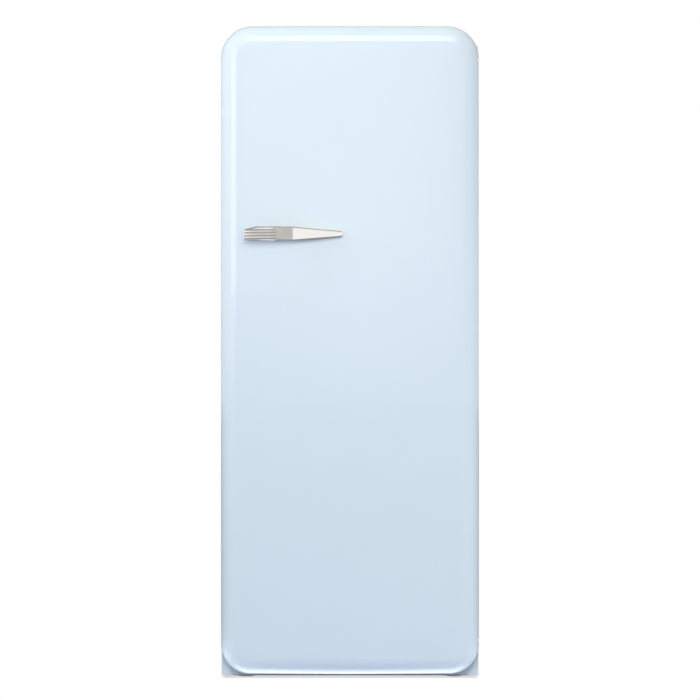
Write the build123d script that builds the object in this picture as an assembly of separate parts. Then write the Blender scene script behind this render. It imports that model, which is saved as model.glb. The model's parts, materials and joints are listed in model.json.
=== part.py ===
"""Round-edged single-door refrigerator with an ice box at the top of its one compartment.

Millimetres. X runs to the right seen from the front, Y to the back and Z up. The origin is on the
floor, midway between the sides and midway between the handle's front and the wall spacers' backs.
"""

from build123d import *
from math import acos, asin, atan2, cos, degrees, dist, hypot, radians, sin
import os

# Overall sizes
CABINET_WIDTH = 601.0
CABINET_HEIGHT = 1516.0
CABINET_DEPTH = 568.0
GROUND_GAP = 6.0
CABINET_CORNER = 74.0
DOOR_DEPTH = 82.0
SEAL_GAP = 8.0
HANDLE_PROUD = 46.0
SPACER_PROUD = 24.0

# Fits
FIT = 0.3
RUNNING_FIT = 0.08
SWING_GAP = 1.0

# Cabinet walls
CABINET_SHEET = 1.0
FLANGE_WIDTH = 25.0
SIDE_WALL = 55.0
TOP_WALL = 60.0
BACK_WALL = 50.0
FLOOR_WALL = 74.0
LINER_SHEET = 2.5
LINER_CORNER = 28.0
BASE_SHEET = 2.0
BASE_RAIL_HEIGHT = 44.0
BASE_RAIL_DEPTH = 36.0

# Compressor niche at the bottom of the back
NICHE_HEIGHT = 220.0
NICHE_DEPTH = 190.0
NICHE_WALL = 45.0

# Door
DOOR_LIFT = 7.0
DOOR_BOTTOM_CORNER = 68.0
DOOR_EDGE_RADIUS = 40.0
DOOR_CROWN_ACROSS = 10.0
DOOR_CROWN_DOWN = 8.0
DOOR_SKIN = 1.2
DOOR_RETURN = 12.0
DYKE_DEPTH = 70.0
DYKE_WIDTH = 28.0
DYKE_CORNER = 34.0
DYKE_SIDE_GAP = 17.5
DYKE_END_GAP = 12.0
DOOR_PANEL_RECESS = 12.0
GASKET_WIDTH = 22.0
GASKET_INSET = 4.5
GASKET_CORNER = 26.0
GASKET_LIP = 5.0

# Door hinges
HINGE_INSET = 20.0
HINGE_DEPTH = 26.0
HINGE_HEIGHT = 78.0
HINGE_OPEN = 105.0
HINGE_TONGUE = 5.0
HINGE_TONGUE_WIDTH = 16.0
HINGE_LEAF = 4.0
HINGE_LEAF_HEIGHT = 70.0
HINGE_PIN = 9.0
HINGE_PIN_LENGTH = 26.0
HINGE_SLOT_GAP = 1.5
HINGE_RELIEF = 6.5
BUSH_WALL = 7.5
SCREW_HEAD = 9.0
SCREW_SHANK = 4.5
SCREW_LENGTH = 14.0
HINGE_SCREW_PITCH = 20.0

# Handle
HANDLE_LEFT = 243.0
HANDLE_LENGTH = 226.5
HANDLE_HEIGHT_ABOVE_BASE = 1030.0
HANDLE_END_HEIGHT = 25.0
HANDLE_END_SINK = 3.0
HANDLE_WAIST_HEIGHT = 33.0
HANDLE_TIP_HEIGHT = 15.0
HANDLE_TAPER_LENGTH = 28.0
HANDLE_GRIP_LENGTH = 68.0
HANDLE_SADDLE_LENGTH = 44.0
HANDLE_SADDLE_DROP = 14.0
HANDLE_END_DROP = 1.0
HANDLE_REAR_RISE = 8.0
HANDLE_TIP_PROUD = 12.0
HANDLE_GRIP_THICKNESS = 15.0
HANDLE_FOOT_LENGTH = 102.0
HANDLE_FLUTE_COUNT = 4
HANDLE_FLUTE_PITCH = 6.8
HANDLE_FLUTE = 6.0
HANDLE_FLUTE_DEPTH = 2.4
HANDLE_BEVEL = 3.0
HANDLE_SCREW = 5.0
HANDLE_SCREW_PITCH = 50.0
HANDLE_SCREW_REACH = 8.0
HANDLE_SCREW_HEAD = 11.0
HANDLE_SCREW_SEAT = 5.0
HANDLE_SCREW_HEAD_HEIGHT = 4.0

# Shelves and the wire bottle rack
CONTENT_SETBACK = 110.0
SHELF_GLASS = 4.0
SHELF_SIDE_GAP = 3.0
SHELF_BACK_GAP = 14.0
SHELF_LEDGE = 9.0
SHELF_LEDGE_HEIGHT = 8.0
TRIM_DEPTH = 12.0
TRIM_HEIGHT = 14.0
TRIM_GRIP = 6.0
TRIM_NOSE = 5.0
REAR_STOP_HEIGHT = 26.0
OPEN_LEVELS = 4
RACK_WIRE = 4.0
RACK_RAIL = 6.0
RACK_SPINE = 5.0
RACK_BOTTLES = 5
RACK_CRADLE_ANGLE = 58.0
RACK_CREST_RADIUS = 12.0
RACK_ROWS = 3
RACK_LEAD = 16.0
RACK_BACK_GAP = 28.0

# Drawers
CRISPER_HEIGHT = 200.0
CRISPER_BACK_GAP = 6.0
DRAWER_SIDE_GAP = 18.0
DRAWER_WALL = 2.5
DRAWER_CORNER = 18.0
DRAWER_RIM = 14.0
DRAWER_PULL = 12.0
FLOOR_RIB = 3.0
FLOOR_RIB_WIDTH = 14.0
CRISPER_COVER_RISE = 16.0
CHILL_HEIGHT = 112.0
CHILL_BACK_GAP = 90.0
CHILL_FLOOR_GAP = 14.0
RUNNER_REACH = 12.0
RUNNER_THICKNESS = 8.0

# Ice box
ICEBOX_HEIGHT = 206.0
ICEBOX_CEILING_GAP = 10.0
ICEBOX_SIDE_GAP = 13.5
ICEBOX_SETBACK = 135.0
ICEBOX_SHEET = 2.0
ICEBOX_CORNER = 16.0
FRAME_DEPTH = 12.0
FRAME_BORDER = 16.0
FLAP_THICKNESS = 12.0
FLAP_PIN = 6.0
FLAP_PIN_LENGTH = 6.0
FLAP_EAR = 8.0
FLAP_EAR_WIDTH = 18.0
FLAP_PANEL_DEPTH = 3.0
FLAP_BORDER = 22.0
FLAP_PULL_LENGTH = 120.0
FLAP_PULL_PROUD = 9.0

# Control and lamp housing on the right wall
CONTROL_LENGTH = 170.0
CONTROL_HEIGHT = 62.0
CONTROL_PROUD = 34.0
CONTROL_WALL = 2.5
CONTROL_TOP_GAP = 30.0
CONTROL_SETBACK = 60.0
LENS_MARGIN = 11.0
LENS_PROUD = 1.0
LENS_THICKNESS = 4.0
BOARD_THICKNESS = 2.0
LAMP_CHIPS = 5
THERMOSTAT_SIZE = 36.0
DIAL_DIAMETER = 40.0
DIAL_PROUD = 14.0
DIAL_EDGE = 2.0
DIAL_SKIRT = 4.0
DIAL_NOTCHES = 12
DIAL_POINTER = 4.0
DIAL_POINTER_PROUD = 1.0
DIAL_POINTER_MARGIN = 3.0
DIAL_SHAFT = 6.0
DIAL_SHAFT_LENGTH = 14.0
LAMP_LENGTH = 84.0

# Door bins
BIN_DEPTH = 104.0
BIN_WALL = 2.5
BIN_CORNER = 16.0
BIN_LUG = 9.0
BOTTLE_BIN_HEIGHT = 84.0
BIN_HEIGHT = 66.0
DAIRY_LID_LENGTH = 98.0
DAIRY_LID_WALL = 3.0
DAIRY_LID_PIN = 5.0
DAIRY_LID_RISE = 40.0
BIN_RAIL_WIRE = 5.0
BIN_RAIL_RISE = 58.0
BIN_COUNT = 4
BIN_FLOOR_GAP = 18.0
DAIRY_HEADROOM = 128.0
BIN_LIP = 6.0

# Levelling feet and rollers
FOOT_PAD = 38.0
FOOT_STUD = 10.0
FOOT_TRAVEL = 20.0
FOOT_BOSS = 30.0
FOOT_THREAD = 14.0
FOOT_INSET = 56.0
ROLLER_DIAMETER = 44.0
ROLLER_WIDTH = 16.0
ROLLER_EDGE = 2.0
ROLLER_AXLE = 8.0
ROLLER_INSET = 34.0
ROLLER_BRACKET = 3.0
ROLLER_BACK_INSET = 44.0

# Refrigeration circuit
COMPRESSOR_LENGTH = 190.0
COMPRESSOR_WIDTH = 130.0
COMPRESSOR_HEIGHT = 142.0
COMPRESSOR_EDGE = 42.0
COMPRESSOR_CORNER = 52.0
COMPRESSOR_SIDE_GAP = 10.0
COMPRESSOR_BACK_GAP = 26.0
SEAM_LEVEL = 64.0
SEAM_PROUD = 3.0
SEAM_HEIGHT = 6.0
STUB_LENGTH = 16.0
STUB_EMBED = 12.0
STUB_LEVEL = 92.0
STUB_PITCH = 40.0
RELAY_LENGTH = 34.0
RELAY_LEVEL = 40.0
MOUNT_MARGIN = 22.0
MOUNT_STUD = 6.0
MOUNT_PLATE = 3.0
GROMMET_HEIGHT = 14.0
GROMMET_DIAMETER = 24.0
GROMMET_EDGE = 2.0
CONDENSER_TUBE = 5.0
CONDENSER_PITCH = 60.0
CONDENSER_SIDE_GAP = 65.5
CONDENSER_FEED_GAP = 24.0
CONDENSER_STANDOFF = 14.0
CONDENSER_TOP_GAP = 130.0
CONDENSER_BOTTOM_GAP = 40.0
CONDENSER_WIRE = 1.8
CONDENSER_WIRE_COUNT = 25
CONDENSER_CLIP = 16.0
DRIER_DIAMETER = 18.0
DRIER_LENGTH = 110.0
DRIER_SIDE_GAP = 49.0
DRIER_BACK_GAP = 40.0
PIPE_DIAMETER = 7.0
NICHE_PIPE_GAP = 30.0
CAPILLARY = 2.6
CAPILLARY_LOOPS = 5
CAPILLARY_LOOP = 26.0
CAPILLARY_PITCH = 6.0
TRAY_WALL = 2.0
TRAY_HEIGHT = 30.0

# Wall spacers and the mains inlet
SPACER_DIAMETER = 30.0
SPACER_NECK = 21.0
SPACER_FLANGE = 4.0
SPACER_EDGE = 4.0
SPACER_INSET = 90.0
INLET_SIDE_GAP = 17.5
INLET_WIDTH = 50.0
INLET_HEIGHT = 34.0
INLET_DEPTH = 36.0
INLET_CORNER = 4.0
INLET_RECESS = 16.0
INLET_RECESS_WIDTH = 28.0
INLET_RECESS_HEIGHT = 20.0
BLADE_THICKNESS = 2.0
BLADE_HEIGHT = 5.0
BLADE_PITCH = 7.0
BLADE_STAGGER = 6.0
BLADE_SETBACK = 4.0

# Places that follow from the sizes above
OVERALL_DEPTH = HANDLE_PROUD + DOOR_DEPTH + SEAL_GAP + CABINET_DEPTH + SPACER_PROUD
HALF_WIDTH = CABINET_WIDTH / 2
DOOR_FRONT_Y = HANDLE_PROUD - OVERALL_DEPTH / 2
DOOR_BACK_Y = DOOR_FRONT_Y + DOOR_DEPTH
FRONT_Y = DOOR_BACK_Y + SEAL_GAP
BACK_Y = FRONT_Y + CABINET_DEPTH
BOTTOM_Z = GROUND_GAP
TOP_Z = GROUND_GAP + CABINET_HEIGHT
DOOR_BOTTOM_Z = BOTTOM_Z + DOOR_LIFT
INNER_X = HALF_WIDTH - SIDE_WALL
INNER_TOP = TOP_Z - TOP_WALL
INNER_FLOOR = BOTTOM_Z + FLOOR_WALL
INNER_BACK = BACK_Y - BACK_WALL
NICHE_TOP = BOTTOM_Z + NICHE_HEIGHT
NICHE_FRONT = BACK_Y - NICHE_DEPTH
STEP_TOP = NICHE_TOP + NICHE_WALL
STEP_FRONT = NICHE_FRONT - NICHE_WALL
CONTENT_FRONT = FRONT_Y + CONTENT_SETBACK
FLANGE_X = HALF_WIDTH - FLANGE_WIDTH
FLANGE_TOP = TOP_Z - FLANGE_WIDTH
RAIL_TOP = BOTTOM_Z + BASE_RAIL_HEIGHT
HINGE_X = HALF_WIDTH - HINGE_INSET
HINGE_Y = DOOR_BACK_Y - HINGE_DEPTH
BASE_TOP = BOTTOM_Z + BASE_SHEET
DYKE_X = INNER_X - DYKE_SIDE_GAP
DYKE_BOTTOM = INNER_FLOOR + DYKE_END_GAP
DYKE_TOP = INNER_TOP - DYKE_END_GAP
DYKE_Y = DOOR_BACK_Y + DYKE_DEPTH
BIN_X = DYKE_X - DYKE_WIDTH
PANEL_Y = DOOR_BACK_Y - DOOR_PANEL_RECESS
COVER_Z = INNER_FLOOR + FLOOR_RIB + CRISPER_HEIGHT + CRISPER_COVER_RISE
CHILL_BOTTOM = COVER_Z + SHELF_GLASS + CHILL_FLOOR_GAP
CHILL_SHELF_Z = CHILL_BOTTOM + CHILL_HEIGHT + TRIM_HEIGHT
ICEBOX_TOP = INNER_TOP - ICEBOX_CEILING_GAP
ICEBOX_BOTTOM = ICEBOX_TOP - ICEBOX_HEIGHT
ICEBOX_X = INNER_X - ICEBOX_SIDE_GAP
ICEBOX_FRONT = FRONT_Y + ICEBOX_SETBACK
FRAME_FRONT = ICEBOX_FRONT - FRAME_DEPTH
LEVEL_PITCH = (ICEBOX_BOTTOM - CHILL_SHELF_Z) / (OPEN_LEVELS + 1)
OPEN_SHELF_Z = [CHILL_SHELF_Z + LEVEL_PITCH * level for level in range(1, OPEN_LEVELS + 1)]
RACK_Z = OPEN_SHELF_Z[0]
FOOT_BOSS_HEIGHT = FOOT_TRAVEL + FOOT_THREAD
CONDENSER_X = HALF_WIDTH - CONDENSER_SIDE_GAP
CONDENSER_FEED_X = CONDENSER_X + CONDENSER_FEED_GAP
CONDENSER_Y = BACK_Y + CONDENSER_STANDOFF


def slab(x0, x1, y0, y1, z0, z1):
    """A box between two opposite corners."""
    return Pos((x0 + x1) / 2, (y0 + y1) / 2, (z0 + z1) / 2) * Box(x1 - x0, y1 - y0, z1 - z0)


def along_x(diameter, x0, x1, y, z):
    """A round bar that runs along X."""
    return Pos((x0 + x1) / 2, y, z) * Rot(0, 90, 0) * Cylinder(diameter / 2, x1 - x0)


def along_y(diameter, x, y0, y1, z):
    """A round bar that runs along Y."""
    return Pos(x, (y0 + y1) / 2, z) * Rot(90, 0, 0) * Cylinder(diameter / 2, y1 - y0)


def along_z(diameter, x, y, z0, z1):
    """A round bar that runs along Z."""
    return Pos(x, y, (z0 + z1) / 2) * Cylinder(diameter / 2, z1 - z0)


def outline(x0, x1, z0, z1, top_radius=0.0, bottom_radius=0.0):
    """A rectangle in X and Z with its upper and lower corners rounded."""
    face = Pos((x0 + x1) / 2, (z0 + z1) / 2) * Rectangle(x1 - x0, z1 - z0)
    if bottom_radius > 0:
        face = fillet(face.vertices().group_by(Axis.Y)[0], bottom_radius)
    if top_radius > 0:
        face = fillet(face.vertices().group_by(Axis.Y)[-1], top_radius)
    return face


def prism_y(face, y0, y1):
    """Pushes a face drawn in X and Z from y0 to y1."""
    return extrude(Plane.XZ.offset(-y0) * face, amount=y0 - y1)


def prism_x(face, x0, x1):
    """Pushes a face drawn in Y and Z from x0 to x1."""
    return extrude(Plane.YZ.offset(x0) * face, amount=x1 - x0)


def prism_z(face, z0, z1):
    """Pushes a face drawn in X and Y from z0 to z1."""
    return extrude(Plane.XY.offset(z0) * face, amount=z1 - z0)


def polygon(*points):
    """A face bounded by straight lines through the points."""
    return make_face(Polyline(*points, close=True))


def tube(points, radii, diameter):
    """A round bar along straight runs with rounded corners."""
    path = FilletPolyline(*points, radius=radii)
    section = Plane(path @ 0, z_dir=path % 0) * Circle(diameter / 2)
    return sweep(section, path=path)


# Cabinet


def cabinet_outline(inset):
    """The cabinet seen from the front, drawn in by an inset at the sides and the top."""
    return outline(
        inset - HALF_WIDTH, HALF_WIDTH - inset, BOTTOM_Z, TOP_Z - inset, CABINET_CORNER - inset
    )


def cabinet_shell():
    """One steel sheet that makes both sides and the top, turned in round the front."""
    sheet = prism_y(cabinet_outline(0), FRONT_Y, BACK_Y)
    hollow = prism_y(cabinet_outline(CABINET_SHEET), FRONT_Y + CABINET_SHEET, BACK_Y)
    mouth = prism_y(cabinet_outline(FLANGE_WIDTH), FRONT_Y, FRONT_Y + CABINET_SHEET)
    return sheet - hollow - mouth


def compartment(grow, front):
    """The space inside the cold compartment, with its step over the compressor, grown by a wall."""
    profile = polygon(
        (front, INNER_FLOOR - grow),
        (STEP_FRONT + grow, INNER_FLOOR - grow),
        (STEP_FRONT + grow, STEP_TOP - grow),
        (INNER_BACK + grow, STEP_TOP - grow),
        (INNER_BACK + grow, INNER_TOP + grow),
        (front, INNER_TOP + grow),
    )
    inner = [v for v in profile.vertices() if v.X > front + 1]
    step = min(inner, key=lambda v: abs(v.X - STEP_FRONT - grow) + abs(v.Y - STEP_TOP + grow))
    profile = fillet(step, LINER_CORNER - grow)
    hollow = [v for v in profile.vertices() if v.X > STEP_FRONT + grow - 1]
    corners = [v for v in hollow if v.Y < INNER_FLOOR + 1 or v.X > INNER_BACK + grow - 1]
    profile = fillet(corners, LINER_CORNER + grow)
    return prism_x(profile, -INNER_X - grow, INNER_X + grow)


def shelf_ledges(z):
    """The pair of ribs on the side walls that carry a shelf at one level."""
    start = CONTENT_FRONT + TRIM_DEPTH + SWING_GAP
    end = INNER_BACK - LINER_CORNER
    left = slab(
        -INNER_X - LINER_SHEET / 2, -INNER_X + SHELF_LEDGE, start, end, z - SHELF_LEDGE_HEIGHT, z
    )
    return left + mirror(left, about=Plane.YZ)


def inner_liner():
    """White formed tub with a front flange, shelf ribs and ribs under the crisper."""
    flange = prism_y(
        outline(
            -FLANGE_X + FIT,
            FLANGE_X - FIT,
            RAIL_TOP + FIT,
            FLANGE_TOP - FIT,
            CABINET_CORNER - FLANGE_WIDTH - FIT,
        ),
        FRONT_Y,
        FRONT_Y + LINER_SHEET,
    )
    liner = flange + compartment(LINER_SHEET, FRONT_Y) - compartment(0, FRONT_Y)
    for z in [COVER_Z, CHILL_SHELF_Z, *OPEN_SHELF_Z]:
        liner += shelf_ledges(z)
    liner += chill_runners()
    for side in (-1, 1):
        x = side * (INNER_X - DRAWER_SIDE_GAP) / 2
        liner += slab(
            x - FLOOR_RIB_WIDTH / 2,
            x + FLOOR_RIB_WIDTH / 2,
            CONTENT_FRONT,
            STEP_FRONT - LINER_CORNER,
            INNER_FLOOR - LINER_SHEET / 2,
            INNER_FLOOR + FLOOR_RIB,
        )
    return liner


def insulation_foam():
    """Foam poured between the outer shell and the liner."""
    foam = prism_y(
        outline(
            -HALF_WIDTH + CABINET_SHEET + FIT,
            HALF_WIDTH - CABINET_SHEET - FIT,
            BASE_TOP + FIT,
            TOP_Z - CABINET_SHEET - FIT,
            CABINET_CORNER - CABINET_SHEET - FIT,
        ),
        FRONT_Y + LINER_SHEET + FIT,
        BACK_Y - CABINET_SHEET - FIT,
    )
    foam -= compartment(LINER_SHEET + FIT, FRONT_Y)
    foam -= slab(
        -HALF_WIDTH,
        HALF_WIDTH,
        NICHE_FRONT - CABINET_SHEET - FIT,
        BACK_Y,
        BOTTOM_Z,
        NICHE_TOP + CABINET_SHEET + FIT,
    )
    foam -= slab(
        -HALF_WIDTH, HALF_WIDTH, FRONT_Y, FRONT_Y + BASE_RAIL_DEPTH + FIT, BOTTOM_Z, RAIL_TOP + FIT
    )
    for x in (-HALF_WIDTH + FOOT_INSET, HALF_WIDTH - FOOT_INSET):
        y = FRONT_Y + BASE_RAIL_DEPTH + FOOT_BOSS
        top = BASE_TOP + FOOT_BOSS_HEIGHT + FIT
        foam -= along_z(FOOT_BOSS + 2 * FIT, x, y, BOTTOM_Z, top)
    return foam


def back_panel():
    """Flat sheet that closes the back above the compressor niche."""
    gap = CABINET_SHEET + FIT
    face = outline(
        -HALF_WIDTH + gap, HALF_WIDTH - gap, NICHE_TOP, TOP_Z - gap, CABINET_CORNER - gap
    )
    return prism_y(face, BACK_Y - CABINET_SHEET, BACK_Y)


def niche_panel():
    """Bent sheet over and in front of the compressor."""
    x = HALF_WIDTH - CABINET_SHEET - FIT
    top = slab(
        -x, x, NICHE_FRONT - CABINET_SHEET, BACK_Y - CABINET_SHEET, NICHE_TOP, NICHE_TOP + CABINET_SHEET
    )
    front = slab(
        -x, x, NICHE_FRONT - CABINET_SHEET, NICHE_FRONT, BASE_TOP, NICHE_TOP + CABINET_SHEET
    )
    return top + front


def front_base_rail():
    """Painted channel across the front below the compartment."""
    x = FLANGE_X - FIT
    y = FRONT_Y + BASE_RAIL_DEPTH
    rail = slab(-x, x, FRONT_Y, y, BASE_TOP, RAIL_TOP)
    hollow = slab(
        -x, x, FRONT_Y + CABINET_SHEET, y, BASE_TOP + CABINET_SHEET, RAIL_TOP - CABINET_SHEET
    )
    return rail - hollow


def foot_places():
    """The X and Y of both levelling feet."""
    y = FRONT_Y + BASE_RAIL_DEPTH + FOOT_BOSS
    return [(-HALF_WIDTH + FOOT_INSET, y), (HALF_WIDTH - FOOT_INSET, y)]


def roller_places():
    """The X and Y of both rollers."""
    y = BACK_Y - ROLLER_BACK_INSET
    return [(-HALF_WIDTH + ROLLER_INSET, y), (HALF_WIDTH - ROLLER_INSET, y)]


def base_pan():
    """Floor sheet of the cabinet, open for the feet and the rollers."""
    x = HALF_WIDTH - CABINET_SHEET - FIT
    pan = slab(-x, x, FRONT_Y + CABINET_SHEET + FIT, BACK_Y, BOTTOM_Z, BASE_TOP)
    for foot_x, foot_y in foot_places():
        pan -= along_z(FOOT_BOSS / 2, foot_x, foot_y, BOTTOM_Z, BASE_TOP)
        pan += foot_boss(foot_x, foot_y)
    for roller_x, roller_y in roller_places():
        half = ROLLER_WIDTH / 2 + SWING_GAP
        reach = ROLLER_DIAMETER / 2 + SWING_GAP
        pan -= slab(
            roller_x - half, roller_x + half, roller_y - reach, roller_y + reach, BOTTOM_Z, BASE_TOP
        )
        for cheek in roller_cheeks(roller_x, roller_y):
            pan += cheek
    return pan


def foot_boss(x, y):
    """Threaded block welded on the floor sheet that a foot screws into."""
    block = along_z(FOOT_BOSS, x, y, BOTTOM_Z, BASE_TOP + FOOT_BOSS_HEIGHT)
    return block - along_z(FOOT_STUD + 2 * RUNNING_FIT, x, y, BOTTOM_Z, TOP_Z)


def levelling_foot(x, y):
    """Round pad on a threaded stud, shown screwed right in."""
    pad_top = GROUND_GAP - SWING_GAP
    pad = Pos(x, y, pad_top / 2) * Cylinder(FOOT_PAD / 2, pad_top)
    pad = chamfer(pad.edges().group_by(Axis.Z)[-1], SWING_GAP)
    return pad + along_z(FOOT_STUD, x, y, pad_top, BASE_TOP + FOOT_BOSS_HEIGHT - SWING_GAP)


def roller(x, y):
    """Grooveless wheel with a chamfered rim."""
    z = ROLLER_DIAMETER / 2
    wheel = along_x(ROLLER_DIAMETER, x - ROLLER_WIDTH / 2, x + ROLLER_WIDTH / 2, y, z)
    wheel = fillet(wheel.edges().filter_by(GeomType.CIRCLE), ROLLER_EDGE)
    bore = ROLLER_AXLE + 2 * RUNNING_FIT
    return wheel - along_x(bore, x - ROLLER_WIDTH, x + ROLLER_WIDTH, y, z)


def roller_axles():
    """Plain pins through both rollers."""
    reach = ROLLER_WIDTH / 2 + SWING_GAP + ROLLER_BRACKET
    z = ROLLER_DIAMETER / 2
    pins = [along_x(ROLLER_AXLE, x - reach, x + reach, y, z) for x, y in roller_places()]
    return Compound(children=pins)


def roller_cheeks(x, y):
    """Pair of cheeks turned up from the floor sheet that hold an axle."""
    z = ROLLER_DIAMETER / 2
    width = 2 * ROLLER_AXLE
    cheeks = []
    for side in (-1, 1):
        near = x + side * (ROLLER_WIDTH / 2 + SWING_GAP)
        low, high = sorted((near, near + side * ROLLER_BRACKET))
        cheek = slab(low, high, y - width, y + width, BOTTOM_Z, z)
        cheek += along_x(2 * width, low, high, y, z)
        cheek -= slab(low, high, y - 2 * width, y + 2 * width, BOTTOM_Z - 2 * width, BOTTOM_Z)
        cheeks.append(cheek - along_x(ROLLER_AXLE, low, high, y, z))
    return cheeks


# Door


def door_outline(inset):
    """The door seen from the front, drawn in by an inset all round."""
    return outline(
        inset - HALF_WIDTH,
        HALF_WIDTH - inset,
        DOOR_BOTTOM_Z + inset,
        TOP_Z - inset,
        CABINET_CORNER - inset,
        DOOR_BOTTOM_CORNER - inset,
    )


def crowned_slab(front):
    """A slab whose front bulges both across and down, with its crest at a given Y."""
    half_height = (TOP_Z - DOOR_BOTTOM_Z) / 2
    middle_z = DOOR_BOTTOM_Z + half_height
    swing = (half_height**2 + DOOR_CROWN_DOWN**2) / (2 * DOOR_CROWN_DOWN)
    half_angle = degrees(asin((half_height + DOOR_EDGE_RADIUS) / swing))
    rear = front + 2 * DOOR_DEPTH
    edge = front + DOOR_CROWN_ACROSS
    profile = make_face(
        [
            ThreePointArc((-HALF_WIDTH, edge), (0, front), (HALF_WIDTH, edge)),
            Polyline((HALF_WIDTH, edge), (HALF_WIDTH, rear), (-HALF_WIDTH, rear), (-HALF_WIDTH, edge)),
        ]
    )
    axis = Axis((0, front + swing, middle_z), (1, 0, 0))
    start = (Plane.XY.offset(middle_z) * profile).rotate(axis, -half_angle)
    return revolve(start, axis=axis, revolution_arc=2 * half_angle)


def door_block(inset, back):
    """The door's pillow shape, drawn in by an inset on the front and the edges."""
    block = prism_y(door_outline(inset), DOOR_FRONT_Y, back) & crowned_slab(DOOR_FRONT_Y + inset)
    front = block.faces().sort_by(Axis.Y)[0]
    return fillet(front.edges(), DOOR_EDGE_RADIUS - inset)


def hinge_levels():
    """The middle height of each hinge tongue, with the way its pin points."""
    return [(TOP_Z - HINGE_HEIGHT, -1), (DOOR_BOTTOM_Z + HINGE_HEIGHT, 1)]


def hinge_pocket(z):
    """The room that a hinge tongue needs in the door from shut to fully open."""
    half = HINGE_TONGUE_WIDTH / 2 + HINGE_SLOT_GAP
    reach = 2 * DOOR_DEPTH
    turn = radians(HINGE_OPEN)
    near = (HINGE_X - half * cos(radians(180 - HINGE_OPEN)), HINGE_Y - half * sin(turn))
    far = (near[0] + reach * sin(turn), near[1] + reach * cos(turn))
    plan = polygon(
        (HINGE_X - half, HINGE_Y),
        (HINGE_X - half, HINGE_Y + reach),
        (HINGE_X + reach, HINGE_Y + reach),
        far,
        near,
    )
    plan += Pos(HINGE_X, HINGE_Y) * Circle(half)
    tall = HINGE_TONGUE / 2 + HINGE_SLOT_GAP
    return prism_z(plan, z - tall, z + tall)


def bush_span(z, way):
    """Lower and upper end of the bush beside a hinge tongue."""
    near = z + way * (HINGE_TONGUE / 2 + HINGE_SLOT_GAP)
    far = near + way * (HINGE_PIN_LENGTH + BUSH_WALL)
    return min(near, far), max(near, far)


def hinge_bush(z, way):
    """Plastic block in the door with a blind hole for one hinge pin."""
    low, high = bush_span(z, way)
    half = HINGE_PIN / 2 + BUSH_WALL
    block = slab(HINGE_X - half, HINGE_X + half, HINGE_Y - half, HINGE_Y + half, low, high)
    hole = HINGE_PIN + 2 * RUNNING_FIT
    if way < 0:
        return block - along_z(hole, HINGE_X, HINGE_Y, low + BUSH_WALL / 2, high)
    return block - along_z(hole, HINGE_X, HINGE_Y, low, high - BUSH_WALL / 2)


def hinge_bushes():
    return Compound(children=[hinge_bush(z, way) for z, way in hinge_levels()])


def hinge_bracket(z):
    """Steel leaf on the cabinet front with a tongue that reaches into the door."""
    leaf = slab(
        HINGE_X - HINGE_TONGUE_WIDTH / 2,
        HALF_WIDTH - SWING_GAP,
        FRONT_Y - HINGE_LEAF,
        FRONT_Y,
        z - HINGE_LEAF_HEIGHT / 2,
        z + HINGE_LEAF_HEIGHT / 2,
    )
    tongue = slab(
        HINGE_X - HINGE_TONGUE_WIDTH / 2,
        HINGE_X + HINGE_TONGUE_WIDTH / 2,
        HINGE_Y,
        FRONT_Y,
        z - HINGE_TONGUE / 2,
        z + HINGE_TONGUE / 2,
    )
    end = along_z(HINGE_TONGUE_WIDTH, HINGE_X, HINGE_Y, z - HINGE_TONGUE / 2, z + HINGE_TONGUE / 2)
    bracket = leaf + tongue + end
    bracket -= along_z(HINGE_PIN, HINGE_X, HINGE_Y, z - HINGE_TONGUE, z + HINGE_TONGUE)
    for x, screw_z in hinge_screw_places(z):
        bracket -= along_y(SCREW_SHANK + FIT, x, FRONT_Y - HINGE_LEAF, FRONT_Y, screw_z)
        bracket -= countersink(x, screw_z)
    return bracket


def hinge_brackets():
    """Both hinge leaves, the same pressing at the top and the bottom."""
    return Compound(children=[hinge_bracket(z) for z, _ in hinge_levels()])


def countersink(x, z):
    """The sunk head of one hinge screw, flush with its leaf."""
    depth = (SCREW_HEAD - SCREW_SHANK) / 2
    head = Cone(SCREW_HEAD / 2, SCREW_SHANK / 2, depth)
    return Pos(x, FRONT_Y - HINGE_LEAF + depth / 2, z) * Rot(-90, 0, 0) * head


def hinge_screw_places(z):
    """X and Z of the screws that hold one hinge leaf."""
    x = (HINGE_X - HINGE_TONGUE_WIDTH / 2 + HALF_WIDTH - SWING_GAP) / 2
    return [(x, z - HINGE_SCREW_PITCH), (x, z + HINGE_SCREW_PITCH)]


def hinge_screw_shanks(grow):
    """The shanks of all hinge screws, thickened by a clearance."""
    shanks = []
    start = FRONT_Y - HINGE_LEAF
    for z, _ in hinge_levels():
        for x, screw_z in hinge_screw_places(z):
            shanks.append(along_y(SCREW_SHANK + 2 * grow, x, start, start + SCREW_LENGTH + grow, screw_z))
    return shanks


def hinge_screws():
    """Four sunk screws that hold the hinge leaves to the cabinet."""
    places = [place for z, _ in hinge_levels() for place in hinge_screw_places(z)]
    shanks = hinge_screw_shanks(0)
    screws = [shank + countersink(*place) for shank, place in zip(shanks, places)]
    return Compound(children=screws)


def hinge_pins():
    """Two steel pins, the upper one pointing down and the lower one up."""
    pins = []
    for z, way in hinge_levels():
        back = z - way * HINGE_TONGUE / 2
        tip = z + way * (HINGE_TONGUE / 2 + HINGE_PIN_LENGTH)
        pin = along_z(HINGE_PIN, HINGE_X, HINGE_Y, min(back, tip), max(back, tip))
        end = pin.edges().group_by(Axis.Z)[0 if way < 0 else -1]
        pins.append(chamfer(end, SWING_GAP))
    return Compound(children=pins)


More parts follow.
